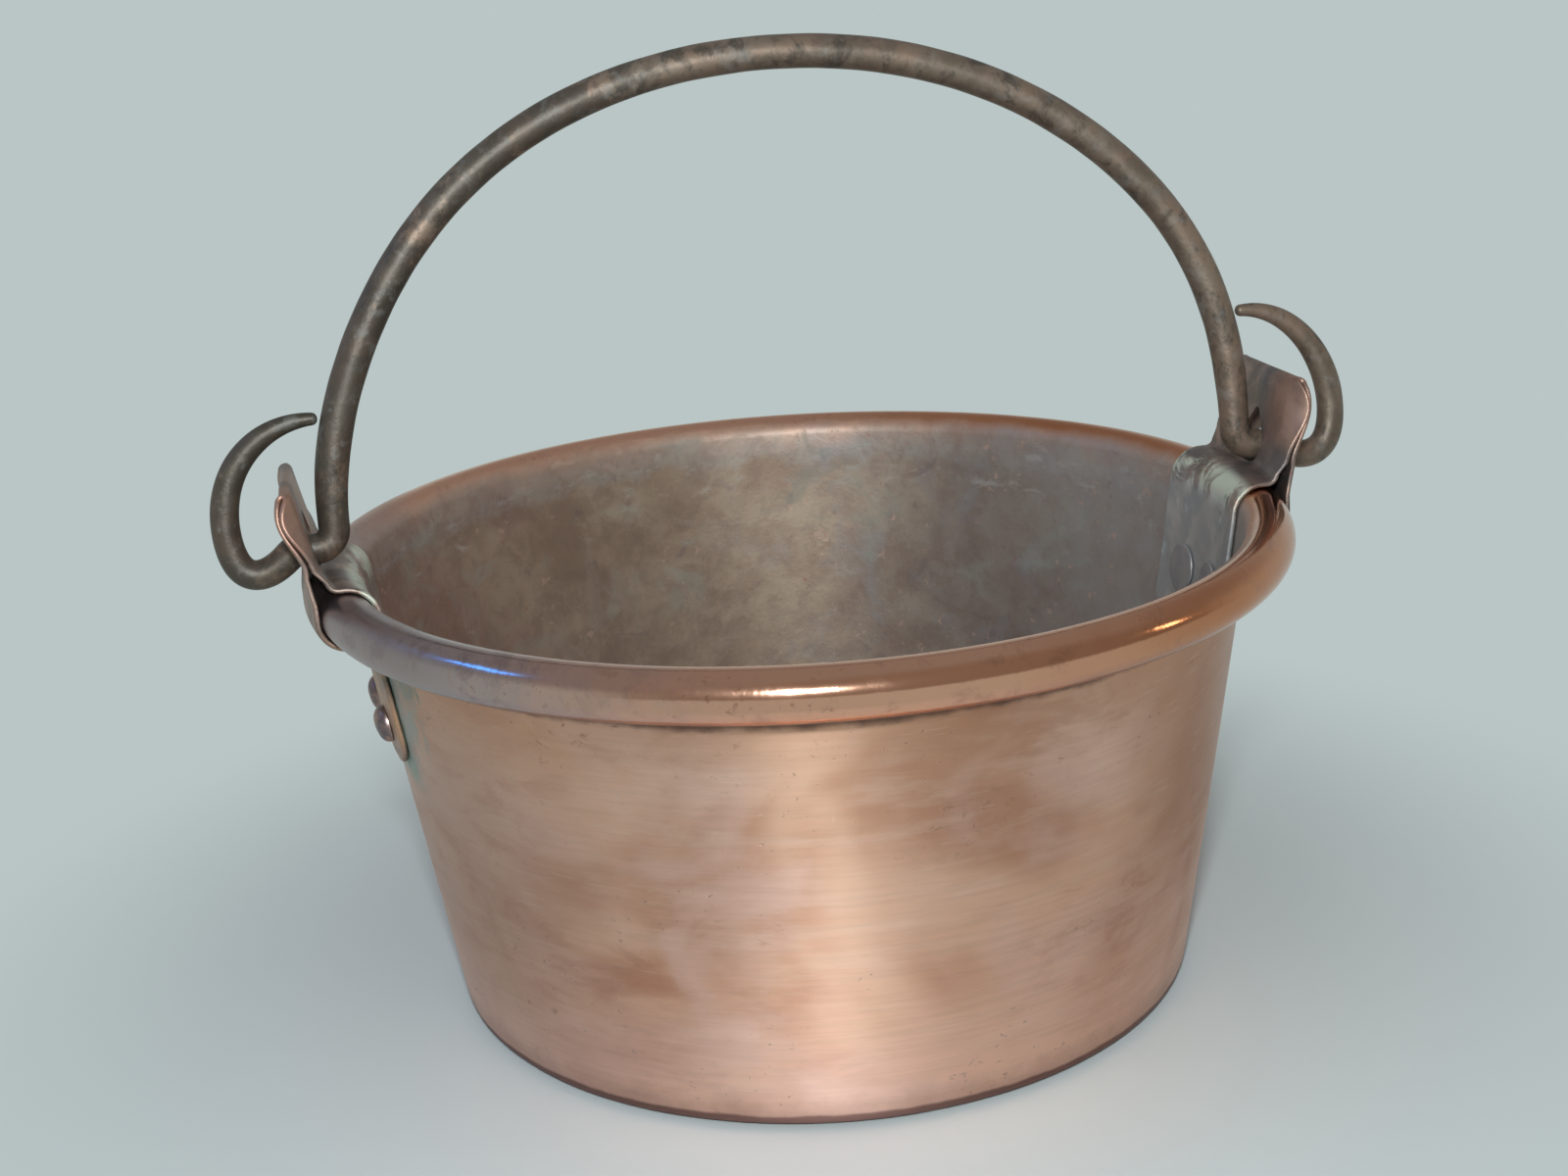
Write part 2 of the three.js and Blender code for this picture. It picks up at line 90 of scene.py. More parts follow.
SHANK_RADIUS = 4
SHANK_CLEARANCE = 0.3
RIVET_SPREAD = {"left": 17, "right": 14}     # half the distance between an ear's two rivets
RIVET_HEIGHT = {"left": 121, "right": 131.5}
DOME_RADIUS = 6.8
DOME_HEIGHT = 4.2
DOME_GAP = 0.3                 # under the outer heads
FLAT_RADIUS = 9.5
FLAT_HEIGHT = 0.8
FLAT_GAP = 0.7                 # under the inner heads
FLAT_EDGE = 0.4                # rounding of the inner heads

# Sizes of the bail

PIVOT_HEIGHT = 182.3
BAIL_SHIFT = 1
BAIL_LEAN = 6                  # degrees back from upright
ARCH_HALF_WIDTH = 169.4
ARCH_TOP = 158.4
ARCH_ROUNDNESS = 2.07          # 2 is an ellipse, more is squarer
ARCH_SWAY = 2.3                # how far the arch leans over to the right
ELBOW_RADIUS = 7
BAR_RADIUS = 6.06
ELBOW_BAR_RADIUS = 5.55
HOOK = {"left": (206.3, 46.1, -10.7), "right": (208.9, 51.9, -8.9)}   # reach, height and depth
HOOK_RADIUS = 5.05
HOOK_START = 184.5             # distance from the middle where the bar leaves the ear
HOOK_BEND = 195                # how far out the arm runs before it bends up
HOOK_MIDDLE = 11               # height where a hook stands upright
HOOK_CROWN = (31.3, 15)        # how high, and how far in from its reach, a hook is drawn over
HOOK_TAPER = 0.55              # share of the radius lost at the point
HOOK_TIP_GAP = 1.3             # from the point to the arm
TIP_BLUNTNESS = 0.9            # length of a point's end over its radius
BAR_SWAY = 0.55
BAR_SWELL = 0.02               # shares of the bar's radius, as are the next two
BAR_HAMMERING = 0.018
BAR_SLIMMING = 0.006
BAR_SIDES = 32

# What holds for every mesh

CREASE = radians(38)           # edges sharper than this stay crisp
WELD = 2e-6                    # metres between points that become one


# Small sums

def smooth(value, low, high):
    share = min(1.0, max(0.0, (value - low) / (high - low)))
    return share * share * (3 - 2 * share)


def ripple(x, y, z, size, seed):
    """Smooth unevenness from -1 to 1, with bumps about size millimetres apart."""
    return noise.noise(Vector((x / size + seed, y / size - 2 * seed, z / size + 3 * seed)))


def solve_wall_tilt():
    """Angle of the wall, in radians, that runs from the base into the inner side of the roll's sheet."""
    tilt = 0.1
    inner = ROLL_RADIUS - SHEET
    for _ in range(20):
        tilt = math.atan2(ROLL_AXIS - inner * math.cos(tilt) - BASE_RADIUS,
                          ROLL_HEIGHT + inner * math.sin(tilt))
    return tilt


WALL_TILT = solve_wall_tilt()


def wall_radius(height, offset):
    """Radius at a height of the wall's outer face moved outward by offset, square to the wall."""
    return BASE_RADIUS + height * math.tan(WALL_TILT) + offset / math.cos(WALL_TILT)


def arc(centre_x, centre_y, radius, start, end, steps):
    """Points round a centre, from start to end in degrees."""
    angles = [radians(start + (end - start) * i / steps) for i in range(steps + 1)]
    return [(centre_x + radius * math.cos(a), centre_y + radius * math.sin(a)) for a in angles]


# Meshes

def tube_faces(rings, count):
    """Faces between rings of count points each, closed round."""
    return [(ring * count + k, ring * count + (k + 1) % count,
             ring * count + (k + 1) % count + count, ring * count + k + count)
            for ring in range(rings - 1) for k in range(count)]


def end_faces(rings, count):
    """One face over the first ring and one over the last."""
    return [tuple(range(start, start + count)) for start in (0, (rings - 1) * count)]


def make_piece(name, points, faces):
    """A smooth mesh object from points in millimetres."""
    mesh = bpy.data.meshes.new(name)
    mesh.from_pydata([(x / 1000, y / 1000, z / 1000) for x, y, z in points], [], faces)
    piece = bpy.data.objects.new(name, mesh)
    bpy.context.scene.collection.objects.link(piece)
    mend(piece)
    return piece


def mend(piece):
    """Welds doubled points, turns the faces outward and sets which edges stay crisp."""
    shape = bmesh.new()
    shape.from_mesh(piece.data)
    bmesh.ops.remove_doubles(shape, verts=shape.verts, dist=WELD)
    bmesh.ops.recalc_face_normals(shape, faces=shape.faces)
    for face in shape.faces:
        face.smooth = True
    for edge in shape.edges:
        edge.smooth = edge.calc_face_angle(0.0) < CREASE
    shape.to_mesh(piece.data)
    shape.free()


def revolve(profile, segments, place):
    """Points and faces of a profile turned about Z. place(radius, height, angle) gives each point."""
    points = [place(r, z, 2 * math.pi * k / segments) for r, z in profile for k in range(segments)]
    return points, tube_faces(len(profile), segments)


def fill_centres(piece):
    """Closes the pinholes that a turned profile leaves on its axis."""
    shape = bmesh.new()
    shape.from_mesh(piece.data)
    bmesh.ops.holes_fill(shape, edges=[e for e in shape.edges if e.is_boundary], sides=0)
    bmesh.ops.recalc_face_normals(shape, faces=shape.faces)
    shape.to_mesh(piece.data)
    shape.free()


def cut_with(piece, cutters):
    """Takes the cutters out of the piece and throws them away."""
    for cutter in cutters:
        step = piece.modifiers.new("cut", "BOOLEAN")
        step.operation = "DIFFERENCE"
        step.solver = "EXACT"
        step.object = cutter
    cut = bpy.data.meshes.new_from_object(piece.evaluated_get(bpy.context.evaluated_depsgraph_get()))
    piece.modifiers.clear()
    piece.data = cut
    for cutter in cutters:
        bpy.data.objects.remove(cutter)


def shank_cutter(length, matrix):
    """A plain rod along its own X that cuts the hole for a rivet's shank."""
    radius, sides = SHANK_RADIUS + SHANK_CLEARANCE, 40
    turns = [2 * math.pi * k / sides for k in range(sides)]
    points = [matrix @ Vector((x, radius * math.cos(a), radius * math.sin(a)))
              for x in (-length / 2, length / 2) for a in turns]
    return make_piece("cutter", points, tube_faces(2, sides) + end_faces(2, sides))


# Bowl

def bowl_profile():
    """Half section from the underside's middle up the outside, round the roll and down the inside."""
    tilt = math.degrees(WALL_TILT)
    touch = 180 - tilt
    corner = wall_radius(BASE_CORNER, -BASE_CORNER)
    under = arc(corner, BASE_CORNER, BASE_CORNER, -90, -tilt, 10)
    roll_inside = arc(ROLL_AXIS, ROLL_HEIGHT, ROLL_RADIUS - SHEET, touch, ROLL_END, 40)
    sheet_end = arc(ROLL_AXIS, ROLL_HEIGHT, ROLL_RADIUS - SHEET / 2, ROLL_END, ROLL_END, 1)[0]
    edge = arc(*sheet_end, SHEET / 2, ROLL_END + 180, ROLL_END, 6)[1:-1]
    roll_outside = arc(ROLL_AXIS, ROLL_HEIGHT, ROLL_RADIUS, ROLL_END, touch, 72)
    inside = arc(corner, BASE_CORNER, BASE_CORNER - SHEET, -tilt, -90, 8)

    def between(start, end, pieces):
        return [tuple(a + (b - a) * i / pieces for a, b in zip(start, end)) for i in range(1, pieces)]

    floor_rings, wall_rings = 16, 36
    below, above = (PINHOLE, 0), (PINHOLE, SHEET)
    return ([below] + between(below, under[0], floor_rings) + under
            + between(under[-1], roll_inside[0], wall_rings) + roll_inside + edge + roll_outside
            + between(roll_outside[-1], inside[0], wall_rings) + inside
            + between(inside[-1], above, floor_rings) + [above])


def bowl_place(radius, height, angle):
    """The raised wall is a little out of round and the base springs up slightly in the middle."""
    c, s = math.cos(angle), math.sin(angle)
    on_roll = smooth(height, 148, 158)
    on_wall = smooth(radius, 110, 138) * (1 - on_roll)
    long_wave = ripple(c * 160, s * 160, height * 0.8, 95, 3.1)
    short_wave = ripple(c * 160, s * 160, height * 1.3, 34, 7.7)
    bulge = on_wall * (LONG_WAVE * long_wave + SHORT_WAVE * short_wave)
    bulge += on_roll * (ROLL_WAVE * ripple(c * 171, s * 171, 0, 42, 1.7) - ROLL_WAVE)
    inward = 132 - radius
    hammered = abs(ripple(c * radius, s * radius, 0, 16, 5.3))
    lift = BASE_SPRING * smooth(inward, 0, 90) + BASE_DIMPLES * smooth(inward, 0, 12) * hammered
    return (radius + bulge) * c, (radius + bulge) * s, height + lift


def make_bowl():
    """The bowl, with its outer wall and underside in the first finish and the rest in the second."""
    bowl = make_piece("bowl_raised", *revolve(bowl_profile(), BOWL_SEGMENTS, bowl_place))
    fill_centres(bowl)
    cut_with(bowl, [shank_cutter(8, matrix) for matrix in RIVETS.values()])
    mend(bowl)
    bowl.data.materials.append(brushed_copper())
    bowl.data.materials.append(rim_and_inside())
    under_roll = ROLL_HEIGHT - ROLL_RADIUS + 3.4
    for face in bowl.data.polygons:
        middle = face.center * 1000
        radius = math.hypot(middle.x, middle.y)
        faces_out = radius > wall_radius(middle.z, -SHEET / 2)
        faces_down = middle.z < 2 and face.normal.z < 0
        clear_of_roll = middle.z < under_roll and radius < wall_radius(middle.z, 0.9)
        face.material_index = 0 if (faces_out or faces_down) and clear_of_roll else 1
    return bowl


# Ears: one strip down the inside, over the roll, up, folded at the head and down the outside

def ear_corners(reach, top):
    """Corners of the strip's path as (radius, height, rounding, how far it follows the pot's round)."""
    over_roll = ROLL_RADIUS + SEAT_GAP + EAR_SHEET / 2
    seat = ROLL_HEIGHT + over_roll
    inside = -SHEET - SEAT_GAP - EAR_SHEET / 2
    outside = SEAT_GAP + EAR_SHEET / 2
    neck = reach + EAR_SHEET / 2
    fold = top + EAR_SHEET / 2
    lean = math.tan(radians(EAR_LEAN)) * (fold - PIVOT_HEIGHT)
    under = ROLL_HEIGHT - over_roll
    return [
        (wall_radius(EAR_BOTTOM, inside), EAR_BOTTOM, 0, 1),            # inner leg's end
        (wall_radius(seat, inside), seat, over_roll, 1),                # over the roll
        (neck - 0.8, seat, 3.6, 1),                                     # foot of the neck
        (neck, PIVOT_HEIGHT, 0, NECK_FOLLOW),                           # level with the hinge
        (neck + lean, fold, LEG_PITCH / 2, 0),                          # the fold's two corners
        (neck + lean + LEG_PITCH, fold, LEG_PITCH / 2, 0),
        (neck + LEG_PITCH, PIVOT_HEIGHT, 12, NECK_FOLLOW),              # level with the hinge
        (ROLL_AXIS + over_roll, ROLL_HEIGHT + 5, 8, 1),                 # beside the roll
        (ROLL_AXIS + over_roll, under, over_roll * 0.96, 1),            # below the roll
        (wall_radius(under, outside) + 4, under, 3, 1),                 # back to the wall
        (wall_radius(under - 8, outside), under - 8, 6, 1),             # onto the wall
        (wall_radius(EAR_BOTTOM, outside), EAR_BOTTOM, 0, 1),           # outer leg's end
    ]


def rounded_path(corners, longest, sweep):
    """Points (position, follow) along the corners, each corner rounded and long stretches divided."""
    path = []

    def push(position, follow):
        if path:
            gap = (position - path[-1][0]).length
            if gap < 1e-3:
                return
            last, last_follow = path[-1]
            pieces = max(1, math.ceil(gap / longest))
            for i in range(1, pieces):
                path.append((last.lerp(position, i / pieces),
                             last_follow + (follow - last_follow) * i / pieces))
        path.append((position, follow))

    for i, (radius, height, rounding, follow) in enumerate(corners):
        here = Vector((radius, height))
        if rounding == 0:
            push(here, follow)
            continue
        before = (Vector(corners[i - 1][:2]) - here).normalized()
        after = (Vector(corners[i + 1][:2]) - here).normalized()
        half = math.acos(max(-1, min(1, before.dot(after)))) / 2
        centre = (before + after).normalized() * (rounding / math.sin(half)) + here
        start = here + before * (rounding / math.tan(half)) - centre
        end = here + after * (rounding / math.tan(half)) - centre
        turn = math.atan2(start.x * end.y - start.y * end.x, start.dot(end))
        steps = max(1, math.ceil(abs(turn) / radians(sweep)))
        for k in range(steps + 1):
            a = turn * k / steps
            turned = Vector((start.x * math.cos(a) - start.y * math.sin(a),
                             start.x * math.sin(a) + start.y * math.cos(a)))
            push(turned + centre, follow)
    return path


def ear_half_width(height, top):
    """Half the strip's width: round corners below, a slight waist over the rim, rounded shoulders above."""
    leg_end = EAR_BOTTOM + EAR_CORNER
    if height < leg_end:
        drop = (leg_end - height) / EAR_CORNER
        return LEG_HALF_WIDTH - EAR_CORNER * (1 - math.sqrt(max(0, 1 - drop * drop)))
    shoulder = top + EAR_SHEET - SHOULDER
    if height < shoulder:
        return (LEG_HALF_WIDTH + (NECK_HALF_WIDTH - LEG_HALF_WIDTH) * smooth(height, 160, 180)
                + (HEAD_HALF_WIDTH - NECK_HALF_WIDTH) * smooth(height, 182, shoulder))
    rise = min(1, (height - shoulder) / SHOULDER)
    return FOLD_HALF_WIDTH + (HEAD_HALF_WIDTH - FOLD_HALF_WIDTH) * math.sqrt(1 - rise * rise)


def place_on_ear(radius, height, across, follow, reach):
    """The head's sides flare outward; below it the strip follows the pot's round."""
    flare = smooth(height, *FLARE_HEIGHTS) / FLARE_RADIUS
    plane = reach + EAR_SHEET / 2 + max(0, height - PIVOT_HEIGHT) * math.tan(radians(EAR_LEAN))
    beyond = abs(across) - FLAT_HALF_WIDTH
    x, y = radius, across
    if flare > 1e-6 and beyond > 0:
        bend = beyond * flare
        outward = radius - plane
        x = plane + outward * math.cos(bend) + (1 - math.cos(bend)) / flare
        y = math.copysign(FLAT_HALF_WIDTH + (1 / flare - outward) * math.sin(bend), across)
    x -= follow * (radius - math.sqrt(radius * radius - (y + EAR_SHIFT) ** 2))
    return x, y, height


def strip_section(half_width):
    """Points (across, share of half the thickness) round the strip's section, its edges rounded over."""
    flat = half_width - EAR_EDGE
    steps, edge_steps = 30, 6
    front = [(-flat + 2 * flat * (0.5 - 0.5 * math.cos(math.pi * i / steps)), 1.0) for i in range(steps + 1)]
    turn = [(flat + EAR_EDGE * math.sin(a), math.cos(a))
            for a in (math.pi * i / edge_steps for i in range(1, edge_steps))]
    return front + turn + [(-a, -t) for a, t in front + turn]


def make_ear(name):
    """One folded strip, its sides a little uneven and its head lightly dented."""
    reach, top = EAR_REACH[name], EAR_TOP[name]
    side, seed = {"left": (-1, 2.3), "right": (1, 9.1)}[name]
    path = rounded_path(ear_corners(reach, top), longest=1.9, sweep=9)
    points = []
    for i, (position, follow) in enumerate(path):
        before, after = path[max(0, i - 1)][0], path[min(len(path) - 1, i + 1)][0]
        along = (after - before).normalized()
        square = Vector((-along.y, along.x))
        height = position.y
        rough = 1 + 0.012 * ripple(position.x, 0, height, 13, seed) * smooth(height, 108, 116)
        from_end = min(i, len(path) - 1 - i)
        thick = EAR_SHEET / 2 * (END_THINNING[from_end] if from_end < len(END_THINNING) else 1)
        for across, share in strip_section(ear_half_width(height, top) * rough):
            face = position + square * (share * thick)
            x, y, z = place_on_ear(face.x, face.y, across, follow, reach)
            dent = ripple(x, y, z, 11, seed) * 0.13 + ripple(x, y, z, 27, seed) * 0.1
            free = smooth(z, 178, 186)
            points.append((side * (x + dent * free), y + EAR_SHIFT, z))
    count = len(points) // len(path)
    ear = make_piece(f"ear_{name}_folded", points, tube_faces(len(path), count) + end_faces(len(path), count))
    cut_with(ear, [hole_cutter(reach, side)] + [shank_cutter(24, RIVETS[name, place])
                                                for place in ("front", "back")])
    mend(ear)
    return ear


def hole_outline(round_radius, round_height, tip_radius, tip_height):
    """Points (y, z) of a hole that is round below, where the bar bears, and drawn up to a rounded point."""
    side = math.pi / 2 - math.asin((round_radius - tip_radius) / (tip_height - round_height))
    round_steps, tip_steps = 36, 10
    below = [(round_height, round_radius, side + 2 * (math.pi - side) * i / round_steps)
             for i in range(round_steps + 1)]
    above = [(tip_height, tip_radius, -side + 2 * side * i / tip_steps) for i in range(tip_steps + 1)]
    return [(radius * math.sin(angle) + EAR_SHIFT, PIVOT_HEIGHT + centre + radius * math.cos(angle))
            for centre, radius, angle in below + above]


def hole_cutter(reach, side):
    """The bail's hole, wide in the inner layer and close round the bar in the outer one."""
    layers_meet = reach + (EAR_SHEET + LEG_PITCH) / 2
    rings = ((WIDE_HOLE, reach - 1.6), (WIDE_HOLE, layers_meet - 0.15),
             (CLOSE_HOLE, layers_meet + 0.15), (CLOSE_HOLE, reach + 12.4))
    points = []
    for hole, x in rings:
        for y, z in hole_outline(*hole):
            lean = max(0, z - PIVOT_HEIGHT) * math.tan(radians(EAR_LEAN))
            points.append((side * (x + lean), y, z))
    count = len(points) // len(rings)
    return make_piece("cutter", points, tube_faces(len(rings), count) + end_faces(len(rings), count))


# Rivets

def rivet_frame(name, place):
    """Matrix whose X points outward, square to the wall, from the middle of the wall's sheet."""
    height = RIVET_HEIGHT[name]
    y = EAR_SHIFT + {"front": -RIVET_SPREAD[name], "back": RIVET_SPREAD[name]}[place]
    radius = wall_radius(height, -SHEET / 2)
    turn = math.asin(y / radius)
    angle = turn if name == "right" else math.pi - turn
    spot = Matrix.Translation((radius * math.cos(angle), y, height))
    return spot @ Matrix.Rotation(angle, 4, "Z") @ Matrix.Rotation(WALL_TILT, 4, "Y")


RIVETS = {(name, place): rivet_frame(name, place)
          for name in ("left", "right") for place in ("front", "back")}


def make_rivet(name, place, seed):
    """A hammered dome outside and a wide flat head inside, beaten from one shank."""
    stack = SHEET / 2 + SEAT_GAP + EAR_SHEET
    outer, inner = stack + DOME_GAP, -stack - FLAT_GAP
    dome = [(DOME_RADIUS * math.cos(a) ** 0.8, outer + DOME_HEIGHT * math.sin(a))
            for a in (math.pi / 2 * i / 12 for i in range(12))]
    flat_rim = [(FLAT_RADIUS - FLAT_EDGE + FLAT_EDGE * math.sin(a),
                 inner - FLAT_EDGE - FLAT_EDGE * math.cos(a))
                for a in (math.pi * i / 8 for i in range(9))]
    middle = [(FLAT_RADIUS * share, inner - FLAT_HEIGHT) for share in (0.2, 0.4, 0.6, 0.8)]
    profile = ([(PINHOLE, inner - FLAT_HEIGHT)] + middle + flat_rim
               + [(SHANK_RADIUS, inner), (SHANK_RADIUS, outer), (DOME_RADIUS - 0.1, outer)] + dome
               + [(PINHOLE, outer + DOME_HEIGHT)])

    def place_point(radius, along, angle):
        c, s = math.cos(angle), math.sin(angle)
        uneven = ripple(radius * c, radius * s, along, 5, seed)
        dent, skew = (0.22, 0.04) if along > outer + 0.2 else (0.08, 0.02) if along < inner else (0, 0)
        return Vector((along + dent * uneven, radius * c * (1 + skew * uneven), radius * s))

    points, faces = revolve(profile, 36, place_point)
    rivet = make_piece(f"rivet_{name}_{place}_beaten", [RIVETS[name, place] @ p for p in points], faces)
    fill_centres(rivet)
    return rivet


# Bail

def arch_reach(rise, side):
    """How far the arch's middle line lies from its centre at a share of its height, side -1 for the left."""
    sway = side * ARCH_SWAY * math.sin(math.pi * rise) ** 2
    return ARCH_HALF_WIDTH * (1 - rise ** ARCH_ROUNDNESS) ** (1 / ARCH_ROUNDNESS) + sway


def hook_tip(top, side):
    """The last full ring of a hook, whose blunt point stops short of the arm's outer face."""
    rise = (top - ELBOW_RADIUS) / (ARCH_TOP - ELBOW_RADIUS)
    blunt = TIP_BLUNTNESS * HOOK_RADIUS * (1 - HOOK_TAPER)
    return arch_reach(rise, side) + BAR_RADIUS + HOOK_TIP_GAP + blunt


def bezier(a, b, c, d, t):
    """Point at share t of the curve from a to d that is pulled towards b and c."""
    points = [Vector(p) for p in (a, b, c, d)]
    weights = ((1 - t) ** 3, 3 * t * (1 - t) ** 2, 3 * t * t * (1 - t), t ** 3)
    return sum((p * w for p, w in zip(points, weights)), Vector((0, 0)))


def bail_half_line(out, top, pull, side):
    """Half of the middle line from the crown to a hook's point: (x, z, radius in plane, radius across)."""
    arch_steps, elbow_steps, hook_steps, end_steps = 100, 12, 36, 6
    line = []
    for i in range(arch_steps):
        rise = math.sin(math.pi / 2 * (1 - i / arch_steps)) ** (2 / ARCH_ROUNDNESS)
        radius = BAR_RADIUS + (ELBOW_BAR_RADIUS - BAR_RADIUS) * smooth(i, arch_steps - 12, arch_steps)
        line.append((arch_reach(rise, side), ELBOW_RADIUS + (ARCH_TOP - ELBOW_RADIUS) * rise, radius, radius))
    for i in range(elbow_steps + 1):
        angle = math.pi + math.pi / 2 * i / elbow_steps
        line.append((ARCH_HALF_WIDTH + ELBOW_RADIUS * (1 + math.cos(angle)),
                     ELBOW_RADIUS * (1 + math.sin(angle)), ELBOW_BAR_RADIUS, ELBOW_BAR_RADIUS))
    for in_the_ear in (179.4, 181.2, 183):
        line.append((in_the_ear, 0, ELBOW_BAR_RADIUS, ELBOW_BAR_RADIUS))
    for i in range(hook_steps + 1):
        point = bezier((HOOK_START, 0), (HOOK_BEND, pull), (out, pull), (out, HOOK_MIDDLE), i / hook_steps)
        radius = ELBOW_BAR_RADIUS + (HOOK_RADIUS - ELBOW_BAR_RADIUS) * i / hook_steps
        line.append((point.x, point.y, radius, radius))
    crown, inward = HOOK_CROWN
    for i in range(1, hook_steps + 1):
        share = i / hook_steps
        point = bezier((out, HOOK_MIDDLE), (out, crown), (out - inward, top),
                       (hook_tip(top, side), top - 0.4), share)
        radius = HOOK_RADIUS * (1 - HOOK_TAPER * share ** 2)
        line.append((point.x, point.y, radius, radius * 0.96))
    x, z, in_plane, across = line[-1]
    for i in range(1, end_steps):
        angle = math.pi / 2 * i / end_steps
        line.append((x - TIP_BLUNTNESS * in_plane * math.sin(angle), z,
                     in_plane * math.cos(angle), across * math.cos(angle)))
    return line


def make_bail():
    """One bar, a little uneven from the hammer, leaning back as it rests."""
    left, right = bail_half_line(*HOOK["left"], -1), bail_half_line(*HOOK["right"], 1)
    line = [(-x, z, a, b) for x, z, a, b in left[:0:-1]] + right
    pivot = Matrix.Translation((BAIL_SHIFT, EAR_SHIFT, PIVOT_HEIGHT))
    lean = pivot @ Matrix.Rotation(-radians(BAIL_LEAN), 4, "X")
    points = []
    for i, (x, z, in_plane, across) in enumerate(line):
        before, after = line[max(0, i - 1)], line[min(len(line) - 1, i + 1)]
        along = Vector((after[0] - before[0], after[1] - before[1])).normalized()
        free = smooth(z, 22, 60) * (1 - smooth(abs(x), 168, 176))
        sway = BAR_SWAY * free * ripple(x, 0, z, 70, 4.4)
        swell = 1 + BAR_SWELL * ripple(x, 0, z, 24, 8.8) * smooth(z, 12, 24) - BAR_SLIMMING
        for k in range(BAR_SIDES):
            angle = 2 * math.pi * (k + 0.5) / BAR_SIDES
            c, s = math.cos(angle), math.sin(angle)
            beaten = 1 + BAR_HAMMERING * ripple(x + 5 * c, 5 * s, z, 9, 6.1) * smooth(in_plane, 2, 5)
            up = in_plane * c * swell * beaten
            back = across * s * swell * beaten
            points.append(lean @ Vector((x - along.y * up, back + sway, z + along.x * up)))
    return make_piece("bail_forged", points,
                      tube_faces(len(line), BAR_SIDES) + end_faces(len(line), BAR_SIDES))


# Finishes: shader sums written as expressions

class Wire:
    """One value or colour that a node puts out. Sums of values make their own Math nodes."""

    def __init__(self, nodes, socket):
        self.nodes = nodes
        self.socket = socket

    def sum(self, operation, first, second):
        return self.nodes.node("ShaderNodeMath", {0: first, 1: second}, operation=operation)

    def __add__(self, other):
        return self.sum("ADD", self, other)

    def __radd__(self, other):
        return self.sum("ADD", other, self)

    def __sub__(self, other):
        return self.sum("SUBTRACT", self, other)

    def __rsub__(self, other):
        return self.sum("SUBTRACT", other, self)

    def __mul__(self, other):
        return self.sum("MULTIPLY", self, other)

    def __rmul__(self, other):
        return self.sum("MULTIPLY", other, self)

    def __truediv__(self, other):
        return self.sum("DIVIDE", self, other)

    def __rtruediv__(self, other):
        return self.sum("DIVIDE", other, self)

    def __pow__(self, other):
        return self.sum("POWER", self, other)

    def __rpow__(self, other):
        return self.sum("POWER", other, self)

    def __abs__(self):
        return self.nodes.node("ShaderNodeMath", {0: self}, operation="ABSOLUTE")


class Nodes:
    """The nodes of one material or world, and the few kinds that are used again and again."""

    def __init__(self, tree):
        self.tree = tree

    def node(self, kind, inputs=None, output=0, **settings):
        node = self.tree.nodes.new(kind)
        for name, value in settings.items():
            setattr(node, name, value)
        for name, value in (inputs or {}).items():
            if isinstance(value, Wire):
                self.tree.links.new(value.socket, node.inputs[name])
            else:
                node.inputs[name].default_value = value
        return Wire(self, node.outputs[output])

    def step(self, value, low, high, start=0.0, end=1.0):
        """From start to end, smoothly, as value goes from low to high."""
        return self.node("ShaderNodeMapRange", {0: value, 1: low, 2: high, 3: start, 4: end},
                         interpolation_type="SMOOTHSTEP")

    def mix(self, share, first, second):
        """From the first colour to the second as share goes from 0 to 1."""
        first, second = ((*c, 1) if isinstance(c, tuple) else c for c in (first, second))
        return self.node("ShaderNodeMix", {0: share, 6: first, 7: second}, output=2, data_type="RGBA")

    def join(self, wire, end, socket):
        """Leads a wire into a node that was there from the start."""
        self.tree.links.new(wire.socket, self.tree.nodes[end].inputs[socket])


class Finish(Nodes):
    """A material being put together. Its masks are worked out from places on the pot, in millimetres."""

    def __init__(self, name, **shader):
        self.material = bpy.data.materials.new(name)
        self.material.use_nodes = True
        super().__init__(self.material.node_tree)
        self.shader = self.tree.nodes["Principled BSDF"]
        for socket, value in shader.items():
            self.shader.inputs[socket.replace("_", " ").title()].default_value = value
        self.place = self.node("ShaderNodeTexCoord", output="Object")

    def along(self, axis):
        return self.node("ShaderNodeSeparateXYZ", {0: self.place}, output=axis) * 1000

    def radius(self):
        """Distance from the pot's upright axis."""
        x, y = self.along("X"), self.along("Y")
        return (x * x + y * y) ** 0.5

    def outside(self):
        """Distance outward from the middle of the wall's sheet."""
        return self.radius() - (self.along("Z") * math.tan(WALL_TILT) + (BASE_RADIUS - SHEET / 2))

    def cloud(self, size, detail, rough, shift=0.0, bend=0.0, stretch=(1, 1, 1)):
        """Noise from 0 to 1 with blobs about size millimetres across, finer along the larger stretch."""
        scaled = self.node("ShaderNodeVectorMath", {0: self.place, 1: stretch}, operation="MULTIPLY")
        moved = self.node("ShaderNodeVectorMath", {0: scaled, 1: (shift, shift * 0.7, shift * 1.3)},
                          operation="ADD")
        return self.node("ShaderNodeTexNoise", {"Vector": moved, "Scale": 1000 / size, "Detail": detail,
                                                "Roughness": rough, "Distortion": bend})

    def set(self, **sockets):
        for name, wire in sockets.items():
            self.join(wire, "Principled BSDF", name.replace("_", " ").title())

    def bump(self, height, depth):
        """Depth in millimetres from a height that runs from 0 to 1."""
        normal = self.node("ShaderNodeBump", {"Height": height, "Distance": depth / 1000})
        self.join(normal, "Principled BSDF", "Normal")


